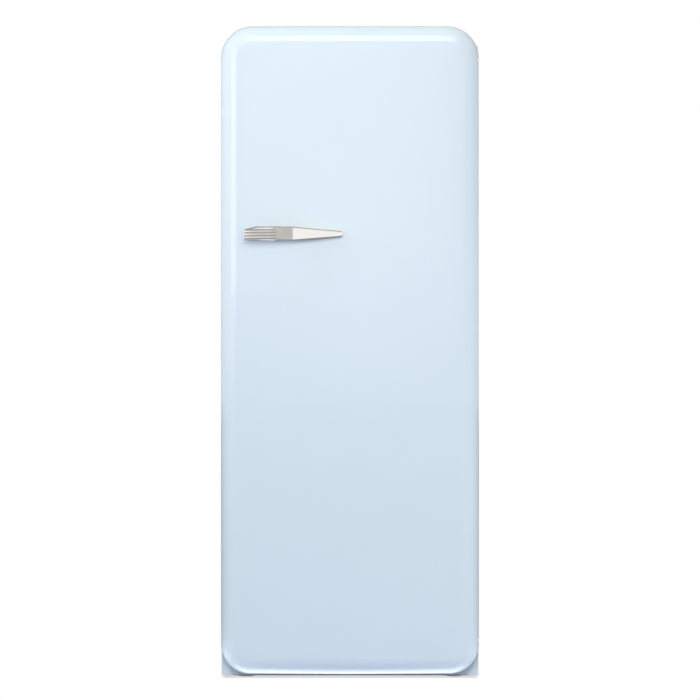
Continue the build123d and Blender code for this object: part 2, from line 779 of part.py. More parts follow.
def hinge_room():
    """Everything cut from the door for the two hinges."""
    rooms = []
    for z, _ in hinge_levels():
        rooms.append(hinge_pocket(z))
        tall = HINGE_LEAF_HEIGHT / 2 + HINGE_SLOT_GAP
        left = HINGE_X - HINGE_TONGUE_WIDTH / 2 - FIT
        right = HALF_WIDTH + SWING_GAP
        front = DOOR_BACK_Y - HINGE_RELIEF
        rooms.append(slab(left, right, front, DOOR_BACK_Y + SWING_GAP, z - tall, z + tall))
    return rooms


def handle_middle_z():
    return BOTTOM_Z + HANDLE_HEIGHT_ABOVE_BASE


def handle_screw_places():
    """X of the two screws that hold the handle's foot."""
    middle = HANDLE_LENGTH - HANDLE_LEFT - HANDLE_FOOT_LENGTH / 2
    return [middle - HANDLE_SCREW_PITCH / 2, middle + HANDLE_SCREW_PITCH / 2]


def handle_screw_bars(diameter, front, back):
    """Round bars on the two screw axes, between two depths from the door's crest."""
    z = handle_middle_z()
    y0 = DOOR_FRONT_Y + front
    y1 = DOOR_FRONT_Y + back
    return [along_y(diameter, x, y0, y1, z) for x in handle_screw_places()]


def handle_screw_slots(size, front, back):
    """Square bars on the two screw axes, between two depths from the door's crest."""
    z = handle_middle_z()
    half = size / 2
    y0 = DOOR_FRONT_Y + front
    y1 = DOOR_FRONT_Y + back
    return [slab(x - half, x + half, y0, y1, z - half, z + half) for x in handle_screw_places()]


def handle_screws():
    """Two screws from inside the door into the handle's foot."""
    seat = HANDLE_SCREW_SEAT
    shanks = handle_screw_bars(HANDLE_SCREW, -HANDLE_SCREW_REACH, seat)
    heads = handle_screw_bars(HANDLE_SCREW_HEAD, seat, seat + HANDLE_SCREW_HEAD_HEIGHT)
    return Compound(children=[shank + head for shank, head in zip(shanks, heads)])


def door_skin():
    """One pressed steel sheet, turned in round the back."""
    skin = door_block(0, DOOR_BACK_Y) - door_block(DOOR_SKIN, DOOR_BACK_Y - DOOR_SKIN)
    skin -= prism_y(door_outline(DOOR_RETURN), DOOR_BACK_Y - 2 * DOOR_SKIN, DOOR_BACK_Y + SWING_GAP)
    slots = handle_screw_slots(HANDLE_SCREW + FIT, -HANDLE_SCREW_REACH, DOOR_DEPTH / 2)
    for room in hinge_room() + slots:
        skin -= room
    return skin


def dyke_outline(inset):
    """The raised ring behind the door, seen from the front."""
    return outline(
        inset - DYKE_X,
        DYKE_X - inset,
        DYKE_BOTTOM + inset,
        DYKE_TOP - inset,
        DYKE_CORNER - inset,
        DYKE_CORNER - inset,
    )


def bin_levels():
    """The floor height of each door bin from the bottom up."""
    first = DYKE_BOTTOM + DYKE_WIDTH + BIN_FLOOR_GAP
    last = DYKE_TOP - DYKE_WIDTH - DAIRY_HEADROOM - DAIRY_LID_RISE - BIN_HEIGHT
    pitch = (last - first) / (BIN_COUNT - 1)
    return [first + pitch * level for level in range(BIN_COUNT)]


def door_liner():
    """White formed panel with a raised ring and lugs for the bins."""
    sheet = LINER_SHEET
    liner = prism_y(door_outline(DOOR_RETURN + FIT), DOOR_BACK_Y - sheet, DOOR_BACK_Y)
    liner += prism_y(dyke_outline(0), DOOR_BACK_Y - sheet, DYKE_Y)
    liner = fillet(liner.faces().sort_by(Axis.Y)[-1].edges(), 2 * sheet)
    liner -= prism_y(dyke_outline(sheet), DOOR_BACK_Y - sheet, DYKE_Y - sheet)
    liner += prism_y(dyke_outline(DYKE_WIDTH - sheet), PANEL_Y - sheet, DYKE_Y)
    liner -= prism_y(dyke_outline(DYKE_WIDTH), PANEL_Y, DYKE_Y)
    for z in bin_levels():
        inside = BIN_X - BIN_LUG
        lug = slab(inside, BIN_X + sheet / 2, PANEL_Y - sheet / 2, DYKE_Y - BIN_LUG, z - BIN_LUG, z)
        liner += lug
        liner += mirror(lug, about=Plane.YZ)
    for room in hinge_room():
        liner -= room
    return liner


def door_foam():
    """Foam that fills the door and its raised ring."""
    back = DOOR_BACK_Y - LINER_SHEET - FIT
    gap = LINER_SHEET + FIT
    foam = door_block(DOOR_SKIN + FIT, back)
    foam += prism_y(dyke_outline(gap + FIT), back, DYKE_Y - 2 * gap)
    foam -= prism_y(dyke_outline(DYKE_WIDTH - gap), PANEL_Y - gap, DYKE_Y)
    for room in hinge_room():
        foam -= room
    for z, way in hinge_levels():
        low, high = bush_span(z, way)
        half = HINGE_PIN / 2 + BUSH_WALL + FIT
        foam -= slab(HINGE_X - half, HINGE_X + half, HINGE_Y - half, HINGE_Y + half, low - FIT, high + FIT)
    end = HANDLE_SCREW_SEAT + HANDLE_SCREW_HEAD_HEIGHT + FIT
    for pocket in handle_screw_slots(HANDLE_SCREW_HEAD + 2 * FIT, 0, end):
        foam -= pocket
    return foam


def gasket_ring(inset, y0, y1):
    """A flat ring round the compartment's mouth."""
    reach = GASKET_INSET + GASKET_WIDTH - inset
    near = GASKET_INSET + inset
    outer = outline(
        -INNER_X - reach,
        INNER_X + reach,
        INNER_FLOOR - reach,
        INNER_TOP + reach,
        GASKET_CORNER - inset,
        GASKET_CORNER - inset,
    )
    inner = outline(-INNER_X - near, INNER_X + near, INNER_FLOOR - near, INNER_TOP + near, near, near)
    return prism_y(outer, y0, y1) - prism_y(inner, y0, y1)


def door_gasket():
    """Soft magnetic seal on the back of the door."""
    neck = DOOR_BACK_Y + (SEAL_GAP - FIT) / 3
    wide = DOOR_BACK_Y + 2 * (SEAL_GAP - FIT) / 3
    seal = gasket_ring(0, DOOR_BACK_Y, neck)
    seal += gasket_ring(GASKET_LIP, neck, wide)
    return seal + gasket_ring(GASKET_LIP / 2, wide, FRONT_Y - FIT)


def bevel(start, end, middle, side):
    """The waste along one stretch of the handle's front edge, above or below its middle."""
    along = Vector(end[0] - start[0], end[1] - start[1], side * (end[2] - start[2]))
    front = Vector(along.Y, -along.X, 0).normalized()
    flank = Vector(-side * along.Z, 0, side * along.X).normalized()
    out = (front + flank).normalized()
    centre = Vector(start[0], start[1], middle + side * start[2]) + along / 2
    place = centre - out * (HANDLE_BEVEL * sin(radians(45)))
    waste = Plane(place, x_dir=along, z_dir=out) * Pos(0, 0, HANDLE_LENGTH / 2)
    return waste * Box(along.length + 2 * HANDLE_BEVEL, HANDLE_LENGTH, HANDLE_LENGTH)


def handle():
    """Chromed grip with a fluted free end, tapering to the foot that is fixed to the door."""
    left = -HANDLE_LEFT
    saddle = left + HANDLE_GRIP_LENGTH
    crease = saddle + HANDLE_SADDLE_LENGTH
    waist_x = left + HANDLE_TAPER_LENGTH
    tip = left + HANDLE_LENGTH
    foot = tip - HANDLE_FOOT_LENGTH
    z = handle_middle_z()
    tip_round = HANDLE_TIP_HEIGHT / 2
    end_top = HANDLE_END_HEIGHT / 2 - HANDLE_END_SINK
    end_low = HANDLE_END_HEIGHT / 2 + HANDLE_END_SINK
    waist_half = HANDLE_WAIST_HEIGHT / 2
    run = tip - tip_round - crease
    slope = acos(tip_round / hypot(waist_half, run)) - atan2(run, waist_half)
    end_x = tip - tip_round + tip_round * sin(slope)
    end_z = tip_round * cos(slope)
    front = make_face(
        [
            Polyline(
                (end_x, z + end_z),
                (crease, z + waist_half),
                (waist_x, z + waist_half),
                (left, z + end_top),
                (left, z - end_low),
                (waist_x, z - waist_half),
                (crease, z - waist_half),
                (end_x, z - end_z),
            ),
            ThreePointArc((end_x, z - end_z), (tip, z), (end_x, z + end_z)),
        ]
    )
    crest = DOOR_FRONT_Y - HANDLE_PROUD
    tip_front = DOOR_FRONT_Y - HANDLE_TIP_PROUD
    grip_back = crest + HANDLE_GRIP_THICKNESS
    inside = DOOR_FRONT_Y + DOOR_CROWN_ACROSS
    plan = polygon(
        (left, crest + HANDLE_END_DROP),
        (saddle, crest),
        (crease, crest + HANDLE_SADDLE_DROP),
        (tip, tip_front),
        (tip, inside),
        (foot, inside),
        (foot - HANDLE_GRIP_THICKNESS / 2, grip_back + HANDLE_REAR_RISE),
        (left, grip_back),
    )
    bend_x = foot - HANDLE_GRIP_THICKNESS / 2
    bend = [v for v in plan.vertices() if abs(v.X - bend_x) < FIT]
    plan = fillet(bend, HANDLE_GRIP_THICKNESS)
    grip = prism_y(front, crest, inside) & prism_z(plan, z - HANDLE_WAIST_HEIGHT, z + HANDLE_WAIST_HEIGHT)
    waist_front = crest + HANDLE_END_DROP * (saddle - waist_x) / HANDLE_GRIP_LENGTH
    tip_share = (end_x - crease) / (tip - crease)
    tip_reach = waist_half + (end_z - waist_half) / tip_share
    for side, end_reach in ((1, end_top), (-1, end_low)):
        edge = [
            (left, crest + HANDLE_END_DROP, end_reach),
            (waist_x, waist_front, waist_half),
            (saddle, crest, waist_half),
            (crease, crest + HANDLE_SADDLE_DROP, waist_half),
            (tip, tip_front, tip_reach),
        ]
        for start, end in zip(edge, edge[1:]):
            grip -= bevel(start, end, z, side)
    flute_y = crest + HANDLE_FLUTE_DEPTH - HANDLE_FLUTE / 2
    for flute in range(HANDLE_FLUTE_COUNT):
        step = flute - (HANDLE_FLUTE_COUNT - 1) / 2
        flute_z = z - HANDLE_END_SINK + HANDLE_FLUTE_PITCH * step
        grip -= along_x(HANDLE_FLUTE, left - SWING_GAP, crease, flute_y, flute_z)
    grip -= door_block(0, DOOR_BACK_Y)
    for hole in handle_screw_bars(HANDLE_SCREW, -HANDLE_SCREW_REACH, HANDLE_SCREW_REACH):
        grip -= hole
    return grip


# Door bins


def bin_plan(inset):
    """A door bin seen from above, drawn in by an inset."""
    x = BIN_X - 2 * FIT - inset
    y0 = PANEL_Y + FIT + inset
    y1 = PANEL_Y + BIN_DEPTH - inset
    face = Pos(0, (y0 + y1) / 2) * Rectangle(2 * x, y1 - y0)
    return fillet(face.vertices().group_by(Axis.Y)[-1], BIN_CORNER - inset)


def door_bin(z, height):
    """A clear tray on two lugs, with a thickened lip."""
    tray = prism_z(bin_plan(0), z, z + height)
    tray -= prism_z(bin_plan(BIN_WALL), z + BIN_WALL, z + height - BIN_LIP)
    return tray - prism_z(bin_plan(2 * BIN_WALL), z + BIN_WALL, z + height)


def lid_axis():
    """Y and Z of the dairy lid's hinge."""
    return PANEL_Y + 2 * DAIRY_LID_PIN, bin_levels()[-1] + BIN_HEIGHT + DAIRY_LID_RISE


def dairy_bin():
    """The top bin, with cheeks that carry the lid."""
    z = bin_levels()[-1]
    tray = door_bin(z, BIN_HEIGHT)
    axis_y, axis_z = lid_axis()
    x1 = BIN_X - 2 * FIT
    for side in (-1, 1):
        low, high = sorted((side * (x1 - BIN_WALL), side * x1))
        tray += slab(low, high, PANEL_Y + FIT, axis_y + 2 * DAIRY_LID_PIN, z, axis_z)
        tray += along_x(4 * DAIRY_LID_PIN - 2 * FIT, low, high, axis_y, axis_z)
        tray -= along_x(DAIRY_LID_PIN + 2 * RUNNING_FIT, low, high, axis_y, axis_z)
    return tray


def dairy_lid():
    """Clear lid with a turned-down front and a pin at each end."""
    axis_y, axis_z = lid_axis()
    front = axis_y + DAIRY_LID_LENGTH - DAIRY_LID_PIN
    drop = axis_z - DAIRY_LID_RISE + 2 * DAIRY_LID_WALL
    half = DAIRY_LID_WALL / 2
    outer = polygon(
        (axis_y, axis_z - half),
        (axis_y, axis_z + half),
        (front, axis_z + half),
        (front, drop),
        (front - DAIRY_LID_WALL, drop),
        (front - DAIRY_LID_WALL, axis_z - half),
    )
    bend = [v for v in outer.vertices() if v.X > front - 2 * DAIRY_LID_WALL and v.Y > drop + 1]
    inner_bend = min(bend, key=lambda v: v.X)
    outer = fillet(inner_bend, BIN_CORNER - DAIRY_LID_WALL)
    outer_bend = max(outer.vertices(), key=lambda v: v.X + v.Y)
    outer = fillet(outer_bend, BIN_CORNER)
    x = BIN_X - 2 * FIT - BIN_WALL - 2 * FIT
    lid = prism_x(outer, -x, x)
    lid += along_x(DAIRY_LID_PIN + 2 * half, -x, x, axis_y, axis_z)
    reach = BIN_X - 3 * FIT
    return lid + along_x(DAIRY_LID_PIN, -reach, reach, axis_y, axis_z)


def bottle_rail():
    """Chromed wire guard in front of the bottles."""
    z = bin_levels()[0] + BOTTLE_BIN_HEIGHT + BIN_RAIL_RISE
    back = DYKE_Y - 3 * BIN_RAIL_WIRE
    front = PANEL_Y + BIN_DEPTH - BIN_RAIL_WIRE / 2
    turn = BIN_X - 3 * BIN_RAIL_WIRE
    points = [
        (-BIN_X + FIT, back, z),
        (-turn, back, z),
        (-turn, front, z),
        (turn, front, z),
        (turn, back, z),
        (BIN_X - FIT, back, z),
    ]
    return tube(points, 2 * BIN_RAIL_WIRE, BIN_RAIL_WIRE)


# Inside


def shelf_x():
    return INNER_X - SHELF_SIDE_GAP


def shelf_glass(z):
    """One toughened glass sheet."""
    y0 = CONTENT_FRONT + TRIM_DEPTH - TRIM_GRIP
    y1 = INNER_BACK - SHELF_BACK_GAP - TRIM_DEPTH + TRIM_GRIP
    return slab(-shelf_x(), shelf_x(), y0, y1, z, z + SHELF_GLASS)


def glass_levels():
    """The heights of all glass sheets from the bottom up."""
    return [COVER_Z, CHILL_SHELF_Z, *OPEN_SHELF_Z[1:]]


def shelf_front_trims():
    """Round-nosed strips along the front of the glass sheets."""
    strips = []
    for z in glass_levels():
        low = z - (TRIM_HEIGHT - SHELF_GLASS) / 2
        strip = slab(-shelf_x(), shelf_x(), CONTENT_FRONT, CONTENT_FRONT + TRIM_DEPTH, low, low + TRIM_HEIGHT)
        nose = strip.faces().sort_by(Axis.Y)[0].edges().filter_by(Axis.X)
        strips.append(fillet(nose, TRIM_NOSE) - shelf_glass(z))
    return Compound(children=strips)


def shelf_rear_trims():
    """Strips along the back of the glass sheets, turned up as a stop."""
    strips = []
    y1 = INNER_BACK - SHELF_BACK_GAP
    for z in glass_levels():
        low = z - (TRIM_HEIGHT - SHELF_GLASS) / 2
        strip = slab(-shelf_x(), shelf_x(), y1 - TRIM_DEPTH, y1, low, low + TRIM_HEIGHT)
        strip += slab(-shelf_x(), shelf_x(), y1 - TRIM_DEPTH / 3, y1, low, low + REAR_STOP_HEIGHT)
        strips.append(strip - shelf_glass(z))
    return Compound(children=strips)


def rack_wave(y, z):
    """One wire bent into a row of cradles."""
    x = shelf_x() - RACK_RAIL / 2
    pitch = 2 * (x - RACK_LEAD) / RACK_BOTTLES
    turn = radians(RACK_CRADLE_ANGLE)
    crest = RACK_CREST_RADIUS
    trough = pitch / (2 * sin(turn)) - crest
    edges = [Line((-x, 0), (-x + RACK_LEAD, 0))]
    for bottle in range(RACK_BOTTLES):
        for radius, bend in ((crest, -1), (trough, 2), (crest, -1)):
            last = edges[-1]
            edges.append(JernArc(last @ 1, last % 1, radius, bend * RACK_CRADLE_ANGLE))
    edges.append(Line(edges[-1] @ 1, (x, 0)))
    path = Plane((0, y, z), x_dir=(1, 0, 0), z_dir=(0, -1, 0)) * Wire(edges)
    section = Plane(path @ 0, z_dir=path % 0) * Circle(RACK_WIRE / 2)
    return sweep(section, path=path)


def wine_rack():
    """Chromed wire rack with a row of bottle cradles, hung on the side ribs."""
    x = shelf_x() - RACK_RAIL / 2
    y0 = CONTENT_FRONT + RACK_RAIL
    y1 = INNER_BACK - RACK_BACK_GAP
    z = RACK_Z + RACK_RAIL / 2
    corner = 3 * RACK_RAIL
    ring = FilletPolyline((-x, y0, z), (-x, y1, z), (x, y1, z), (x, y0, z), radius=corner, close=True)
    rack = sweep(Plane(ring @ 0, z_dir=ring % 0) * Circle(RACK_RAIL / 2), path=ring)
    pitch = 2 * (x - RACK_LEAD) / RACK_BOTTLES
    for crest in range(1, RACK_BOTTLES):
        rack += along_y(RACK_SPINE, -x + RACK_LEAD + pitch * crest, y0, y1, z)
    for row in range(RACK_ROWS):
        rack += rack_wave(y0 + (y1 - y0) * (row + 0.5) / RACK_ROWS, z)
    return rack


def drawer(x, y0, y1, z0, z1):
    """A tub with a rim along its top and a finger pull at the front."""
    body = slab(-x, x, y0, y1, z0, z1)
    body = fillet(body.edges().filter_by(Axis.Z), DRAWER_CORNER)
    body = fillet(body.faces().sort_by(Axis.Z)[0].edges(), DRAWER_CORNER - DRAWER_WALL)
    wall = DRAWER_WALL
    rim = slab(-x - DRAWER_RIM, x + DRAWER_RIM, y0, y1, z1 - 2 * wall, z1)
    rim = fillet(rim.edges().filter_by(Axis.Z), 2 * wall)
    pull_x = x / 2
    pull = slab(-pull_x, pull_x, y0 - DRAWER_PULL, y0 + wall, z1 - 2 * DRAWER_PULL, z1)
    pull = fillet(pull.edges().filter_by(Axis.Z).group_by(Axis.Y)[0], DRAWER_PULL / 2)
    hook = slab(
        -pull_x + wall, pull_x - wall, y0 - DRAWER_PULL + wall, y0, z1 - 2 * DRAWER_PULL, z1 - 2 * wall
    )
    hollow = slab(-x + wall, x - wall, y0 + wall, y1 - wall, z0 + wall, z1)
    hollow = fillet(hollow.edges().filter_by(Axis.Z), DRAWER_CORNER - wall)
    hollow = fillet(hollow.faces().sort_by(Axis.Z)[0].edges(), DRAWER_CORNER - 2 * wall)
    return body + rim + pull - hook - hollow


def crisper_drawer():
    """Clear vegetable drawer that slides on ribs in the compartment's floor."""
    z = INNER_FLOOR + FLOOR_RIB + FIT
    x = INNER_X - DRAWER_SIDE_GAP
    return drawer(x, CONTENT_FRONT, STEP_FRONT - CRISPER_BACK_GAP, z, z + CRISPER_HEIGHT)


def chill_drawer():
    """Shallow clear drawer that hangs by its rim on two runners."""
    x = INNER_X - DRAWER_SIDE_GAP
    back = INNER_BACK - CHILL_BACK_GAP
    return drawer(x, CONTENT_FRONT, back, CHILL_BOTTOM, CHILL_BOTTOM + CHILL_HEIGHT)


def chill_runners():
    """Ribs on the side walls under the chill drawer's rim, with a stop at the back."""
    top = CHILL_BOTTOM + CHILL_HEIGHT - 2 * DRAWER_WALL - FIT
    outside = -INNER_X - LINER_SHEET / 2
    inside = -INNER_X + RUNNER_REACH
    y1 = INNER_BACK - CHILL_BACK_GAP + SHELF_BACK_GAP
    left = slab(outside, inside, CONTENT_FRONT + DRAWER_CORNER, y1, top - RUNNER_THICKNESS, top)
    left += slab(outside, inside, y1 - RUNNER_THICKNESS, y1, top, top + RUNNER_THICKNESS)
    return left + mirror(left, about=Plane.YZ)


def icebox_evaporator():
    """Aluminium box, closed at the back, that freezes the ice compartment."""
    outer = outline(-ICEBOX_X, ICEBOX_X, ICEBOX_BOTTOM, ICEBOX_TOP, ICEBOX_CORNER, ICEBOX_CORNER)
    inset = ICEBOX_SHEET
    inner = outline(
        inset - ICEBOX_X,
        ICEBOX_X - inset,
        ICEBOX_BOTTOM + inset,
        ICEBOX_TOP - inset,
        ICEBOX_CORNER - inset,
        ICEBOX_CORNER - inset,
    )
    back = INNER_BACK - ICEBOX_CEILING_GAP
    return prism_y(outer, ICEBOX_FRONT, back) - prism_y(inner, ICEBOX_FRONT, back - inset)


def icebox_hangers():
    """Four blocks between the ice box and the ceiling."""
    blocks = []
    size = 2 * ICEBOX_CEILING_GAP
    x = ICEBOX_X - 2 * ICEBOX_CORNER
    for y in (ICEBOX_FRONT + size, INNER_BACK - LINER_CORNER - size):
        for side in (-x, x):
            blocks.append(
                slab(side - size / 2, side + size / 2, y - size / 2, y + size / 2, ICEBOX_TOP, INNER_TOP)
            )
    return Compound(children=blocks)


def flap_axis():
    """X and Y of the ice-box flap's hinge."""
    x = ICEBOX_X + FLAP_THICKNESS / 2 - FRAME_BORDER
    y = FRAME_FRONT - SWING_GAP - FLAP_THICKNESS / 2
    return x, y


def flap_span():
    """Lower and upper edge of the ice-box flap."""
    ear = FLAP_EAR + SWING_GAP
    return ICEBOX_BOTTOM + ear, ICEBOX_TOP - ear


def icebox_frame():
    """White frame round the ice box's mouth, clipped from four strips, with ears for the flap's pins."""
    rim = FLAP_THICKNESS / 2
    low, high = ICEBOX_BOTTOM + FRAME_BORDER, ICEBOX_TOP - FRAME_BORDER
    outer = outline(
        -ICEBOX_X - rim, ICEBOX_X + rim, ICEBOX_BOTTOM, ICEBOX_TOP, ICEBOX_CORNER, ICEBOX_CORNER
    )
    inner = outline(FRAME_BORDER - rim - ICEBOX_X, ICEBOX_X - FRAME_BORDER + rim, low, high)
    frame = prism_y(outer, FRAME_FRONT, ICEBOX_FRONT) - prism_y(inner, FRAME_FRONT, ICEBOX_FRONT)
    x, y = flap_axis()
    for ear_z in (ICEBOX_BOTTOM, ICEBOX_TOP - FLAP_EAR):
        half = FLAP_EAR_WIDTH / 2
        ear = slab(x - half, x + half, y, FRAME_FRONT + SWING_GAP, ear_z, ear_z + FLAP_EAR)
        ear += along_z(FLAP_EAR_WIDTH, x, y, ear_z, ear_z + FLAP_EAR)
        frame += ear
        frame -= along_z(FLAP_PIN + 2 * RUNNING_FIT, x, y, ear_z, ear_z + FLAP_EAR)
    strips = []
    for x0, x1, z0, z1 in (
        (-INNER_X, INNER_X, ICEBOX_BOTTOM, low),
        (-INNER_X, INNER_X, high, ICEBOX_TOP),
        (-INNER_X, 0, low + FIT, high - FIT),
        (0, INNER_X, low + FIT, high - FIT),
    ):
        strips.append(frame & slab(x0, x1, FRONT_Y, ICEBOX_FRONT, z0, z1))
    return Compound(children=strips)


def icebox_flap():
    """White flap with a raised border and a long finger pull at its free end."""
    x, y = flap_axis()
    low, high = flap_span()
    left = -ICEBOX_X
    half = FLAP_THICKNESS / 2
    flap = slab(left, x, y - half, y + half, low, high)
    flap = fillet(flap.edges().filter_by(Axis.Y).group_by(Axis.X)[0], ICEBOX_CORNER / 2)
    flap = flap + along_z(FLAP_THICKNESS, x, y, low, high)
    flap -= slab(
        left + FLAP_BORDER + FLAP_PULL_PROUD,
        x - FLAP_BORDER,
        y - half,
        y - half + FLAP_PANEL_DEPTH,
        low + FLAP_BORDER,
        high - FLAP_BORDER,
    )
    middle = (low + high) / 2
    pull = slab(
        left + FLAP_PULL_PROUD,
        left + 2 * FLAP_PULL_PROUD,
        y - half - FLAP_PULL_PROUD,
        y - half + SWING_GAP,
        middle - FLAP_PULL_LENGTH / 2,
        middle + FLAP_PULL_LENGTH / 2,
    )
    pull = fillet(pull.faces().sort_by(Axis.Y)[0].edges(), FLAP_PULL_PROUD / 3)
    flap += pull
    reach = SWING_GAP + FLAP_PIN_LENGTH
    flap += along_z(FLAP_PIN, x, y, low - reach, high + reach)
    return flap


def control_span():
    """Y and Z ranges of the housing on the right wall."""
    y0 = CONTENT_FRONT + CONTROL_SETBACK
    z1 = ICEBOX_BOTTOM - CONTROL_TOP_GAP
    return y0, y0 + CONTROL_LENGTH, z1 - CONTROL_HEIGHT, z1


def lens_box(grow, x0, x1):
    """The lamp window in the housing, widened by a clearance."""
    y0, _, z0, z1 = control_span()
    start = y0 + LENS_MARGIN
    return slab(
        x0, x1, start - grow, start + LAMP_LENGTH + grow, z0 + LENS_MARGIN - grow, z1 - LENS_MARGIN + grow
    )


def dial_place():
    """Y and Z of the thermostat dial's axis."""
    _, y1, z0, z1 = control_span()
    return y1 - CONTROL_HEIGHT / 2, (z0 + z1) / 2


def control_housing():
    """White housing for the lamp and the thermostat."""
    y0, y1, z0, z1 = control_span()
    face = INNER_X - CONTROL_PROUD
    body = slab(face, INNER_X, y0, y1, z0, z1)
    body = fillet(body.edges().filter_by(Axis.X), LENS_MARGIN)
    body = fillet(body.faces().sort_by(Axis.X)[0].edges(), CONTROL_WALL * 2)
    wall = CONTROL_WALL
    hollow = slab(face + wall, INNER_X, y0 + wall, y1 - wall, z0 + wall, z1 - wall)
    hollow = fillet(hollow.edges().filter_by(Axis.X), LENS_MARGIN - wall)
    body -= fillet(hollow.faces().sort_by(Axis.X)[0].edges(), wall)
    body -= lens_box(0, face - SWING_GAP, face + wall)
    y, z = dial_place()
    return body - along_x(DIAL_SHAFT + 2 * RUNNING_FIT, face - SWING_GAP, face + wall, y, z)


def lamp_lens():
    """Frosted cover over the lamp."""
    face = INNER_X - CONTROL_PROUD
    lens = lens_box(-FIT, face - LENS_PROUD, face - LENS_PROUD + LENS_THICKNESS)
    return fillet(lens.faces().sort_by(Axis.X)[0].edges(), LENS_PROUD / 2)


def lamp_board():
    """Lamp strip on the wall behind the cover."""
    y0, _, z0, z1 = control_span()
    start = y0 + LENS_MARGIN
    front = INNER_X - BOARD_THICKNESS
    board = slab(front, INNER_X, start, start + LAMP_LENGTH, z0 + 2 * LENS_MARGIN, z1 - 2 * LENS_MARGIN)
    middle = (z0 + z1) / 2
    for chip in range(LAMP_CHIPS):
        y = start + LAMP_LENGTH * (chip + 0.5) / LAMP_CHIPS
        half = BOARD_THICKNESS
        board += slab(front - BOARD_THICKNESS, front, y - half, y + half, middle - half, middle + half)
    return board


def thermostat():
    """Switch block behind the dial."""
    y, z = dial_place()
    half = THERMOSTAT_SIZE / 2
    front = INNER_X - CONTROL_PROUD + 2 * CONTROL_WALL
    block = slab(front, INNER_X, y - half, y + half, z - half, z + half)
    end = INNER_X - CONTROL_PROUD + DIAL_SHAFT_LENGTH
    return block - along_x(DIAL_SHAFT + 2 * RUNNING_FIT, front, end, y, z)


def thermostat_dial():
    """Round knob with a raised pointer and scalloped grip."""
    y, z = dial_place()
    face = INNER_X - CONTROL_PROUD - FIT
    front = face - DIAL_PROUD
    knob = along_x(DIAL_DIAMETER, front, face, y, z)
    knob = fillet(knob.faces().sort_by(Axis.X)[0].edges(), DIAL_EDGE)
    reach = DIAL_DIAMETER / 2 + DIAL_POINTER / 4
    for notch in range(DIAL_NOTCHES):
        angle = radians(360 * (notch + 0.5) / DIAL_NOTCHES)
        notch_y = y + reach * cos(angle)
        notch_z = z + reach * sin(angle)
        knob -= along_x(DIAL_POINTER, front, face - DIAL_SKIRT, notch_y, notch_z)
    half = DIAL_POINTER / 2
    top = z + DIAL_DIAMETER / 2 - DIAL_POINTER_MARGIN
    proud = DIAL_POINTER_PROUD
    knob += slab(front - proud, front + proud, y - half, y + half, z, top)
    return knob + along_x(DIAL_SHAFT, face, face + DIAL_SHAFT_LENGTH - FIT, y, z)


# Cooling circuit


def compressor_centre():
    """X and Y of the compressor's middle, and the level of its feet."""
    x = inlet_x() + INLET_WIDTH / 2 + COMPRESSOR_SIDE_GAP + MOUNT_MARGIN + COMPRESSOR_LENGTH / 2
    y = BACK_Y - COMPRESSOR_BACK_GAP - COMPRESSOR_WIDTH / 2
    return x, y, BASE_TOP + MOUNT_PLATE + GROMMET_HEIGHT


def mount_points():
    """X and Y of the compressor's four mounts."""
    x, y, _ = compressor_centre()
    dx = COMPRESSOR_LENGTH / 2 + MOUNT_MARGIN / 2 - GROMMET_DIAMETER / 2
    dy = COMPRESSOR_WIDTH / 2 - GROMMET_DIAMETER / 2
    return [(x + sx * dx, y + sy * dy) for sx in (-1, 1) for sy in (-1, 1)]


def compressor():
    """Welded steel can on a foot plate, with stubs for its pipes."""
    x, y, z = compressor_centre()
    half_x = COMPRESSOR_LENGTH / 2
    half_y = COMPRESSOR_WIDTH / 2
    base = z + MOUNT_PLATE
    plate_x = half_x + MOUNT_MARGIN / 2
    plate = slab(x - plate_x, x + plate_x, y - half_y, y + half_y, z, base)
    plate = fillet(plate.edges().filter_by(Axis.Z), GROMMET_DIAMETER / 2)
    can = slab(x - half_x, x + half_x, y - half_y, y + half_y, base, base + COMPRESSOR_HEIGHT)
    can = fillet(can.edges().filter_by(Axis.Z), COMPRESSOR_CORNER)
    can = fillet(can.faces().sort_by(Axis.Z)[-1].edges(), COMPRESSOR_EDGE)
    can = fillet(can.faces().sort_by(Axis.Z)[0].edges(), COMPRESSOR_EDGE / 3)
    seam_z = base + SEAM_LEVEL
    seam_x = half_x + SEAM_PROUD
    seam_y = half_y + SEAM_PROUD
    seam = slab(x - seam_x, x + seam_x, y - seam_y, y + seam_y, seam_z, seam_z + SEAM_HEIGHT)
    seam = fillet(seam.edges().filter_by(Axis.Z), COMPRESSOR_CORNER + SEAM_PROUD)
    body = plate + can + seam
    for mount_x, mount_y in mount_points():
        body -= along_z(MOUNT_STUD, mount_x, mount_y, z, base)
    for stub_y, stub_z in stub_places():
        body += along_x(PIPE_DIAMETER, x + half_x - STUB_EMBED, x + half_x + STUB_LENGTH, stub_y, stub_z)
    return body


def stub_places():
    """Y and Z of the compressor's suction stub and of its discharge stub."""
    _, y, z = compressor_centre()
    return [(y + STUB_PITCH / 2, z + STUB_LEVEL), (y - STUB_PITCH / 2, z + STUB_LEVEL)]


def compressor_rail():
    """Steel plate on the floor sheet with four studs for the compressor."""
    x, y, z = compressor_centre()
    half_x = COMPRESSOR_LENGTH / 2 + MOUNT_MARGIN
    half_y = COMPRESSOR_WIDTH / 2 + SEAM_PROUD
    rail = slab(x - half_x, x + half_x, y - half_y, y + half_y, BASE_TOP, BASE_TOP + MOUNT_PLATE)
    for mount_x, mount_y in mount_points():
        rail += along_z(MOUNT_STUD, mount_x, mount_y, BASE_TOP, z + MOUNT_PLATE + MOUNT_STUD)
    return rail


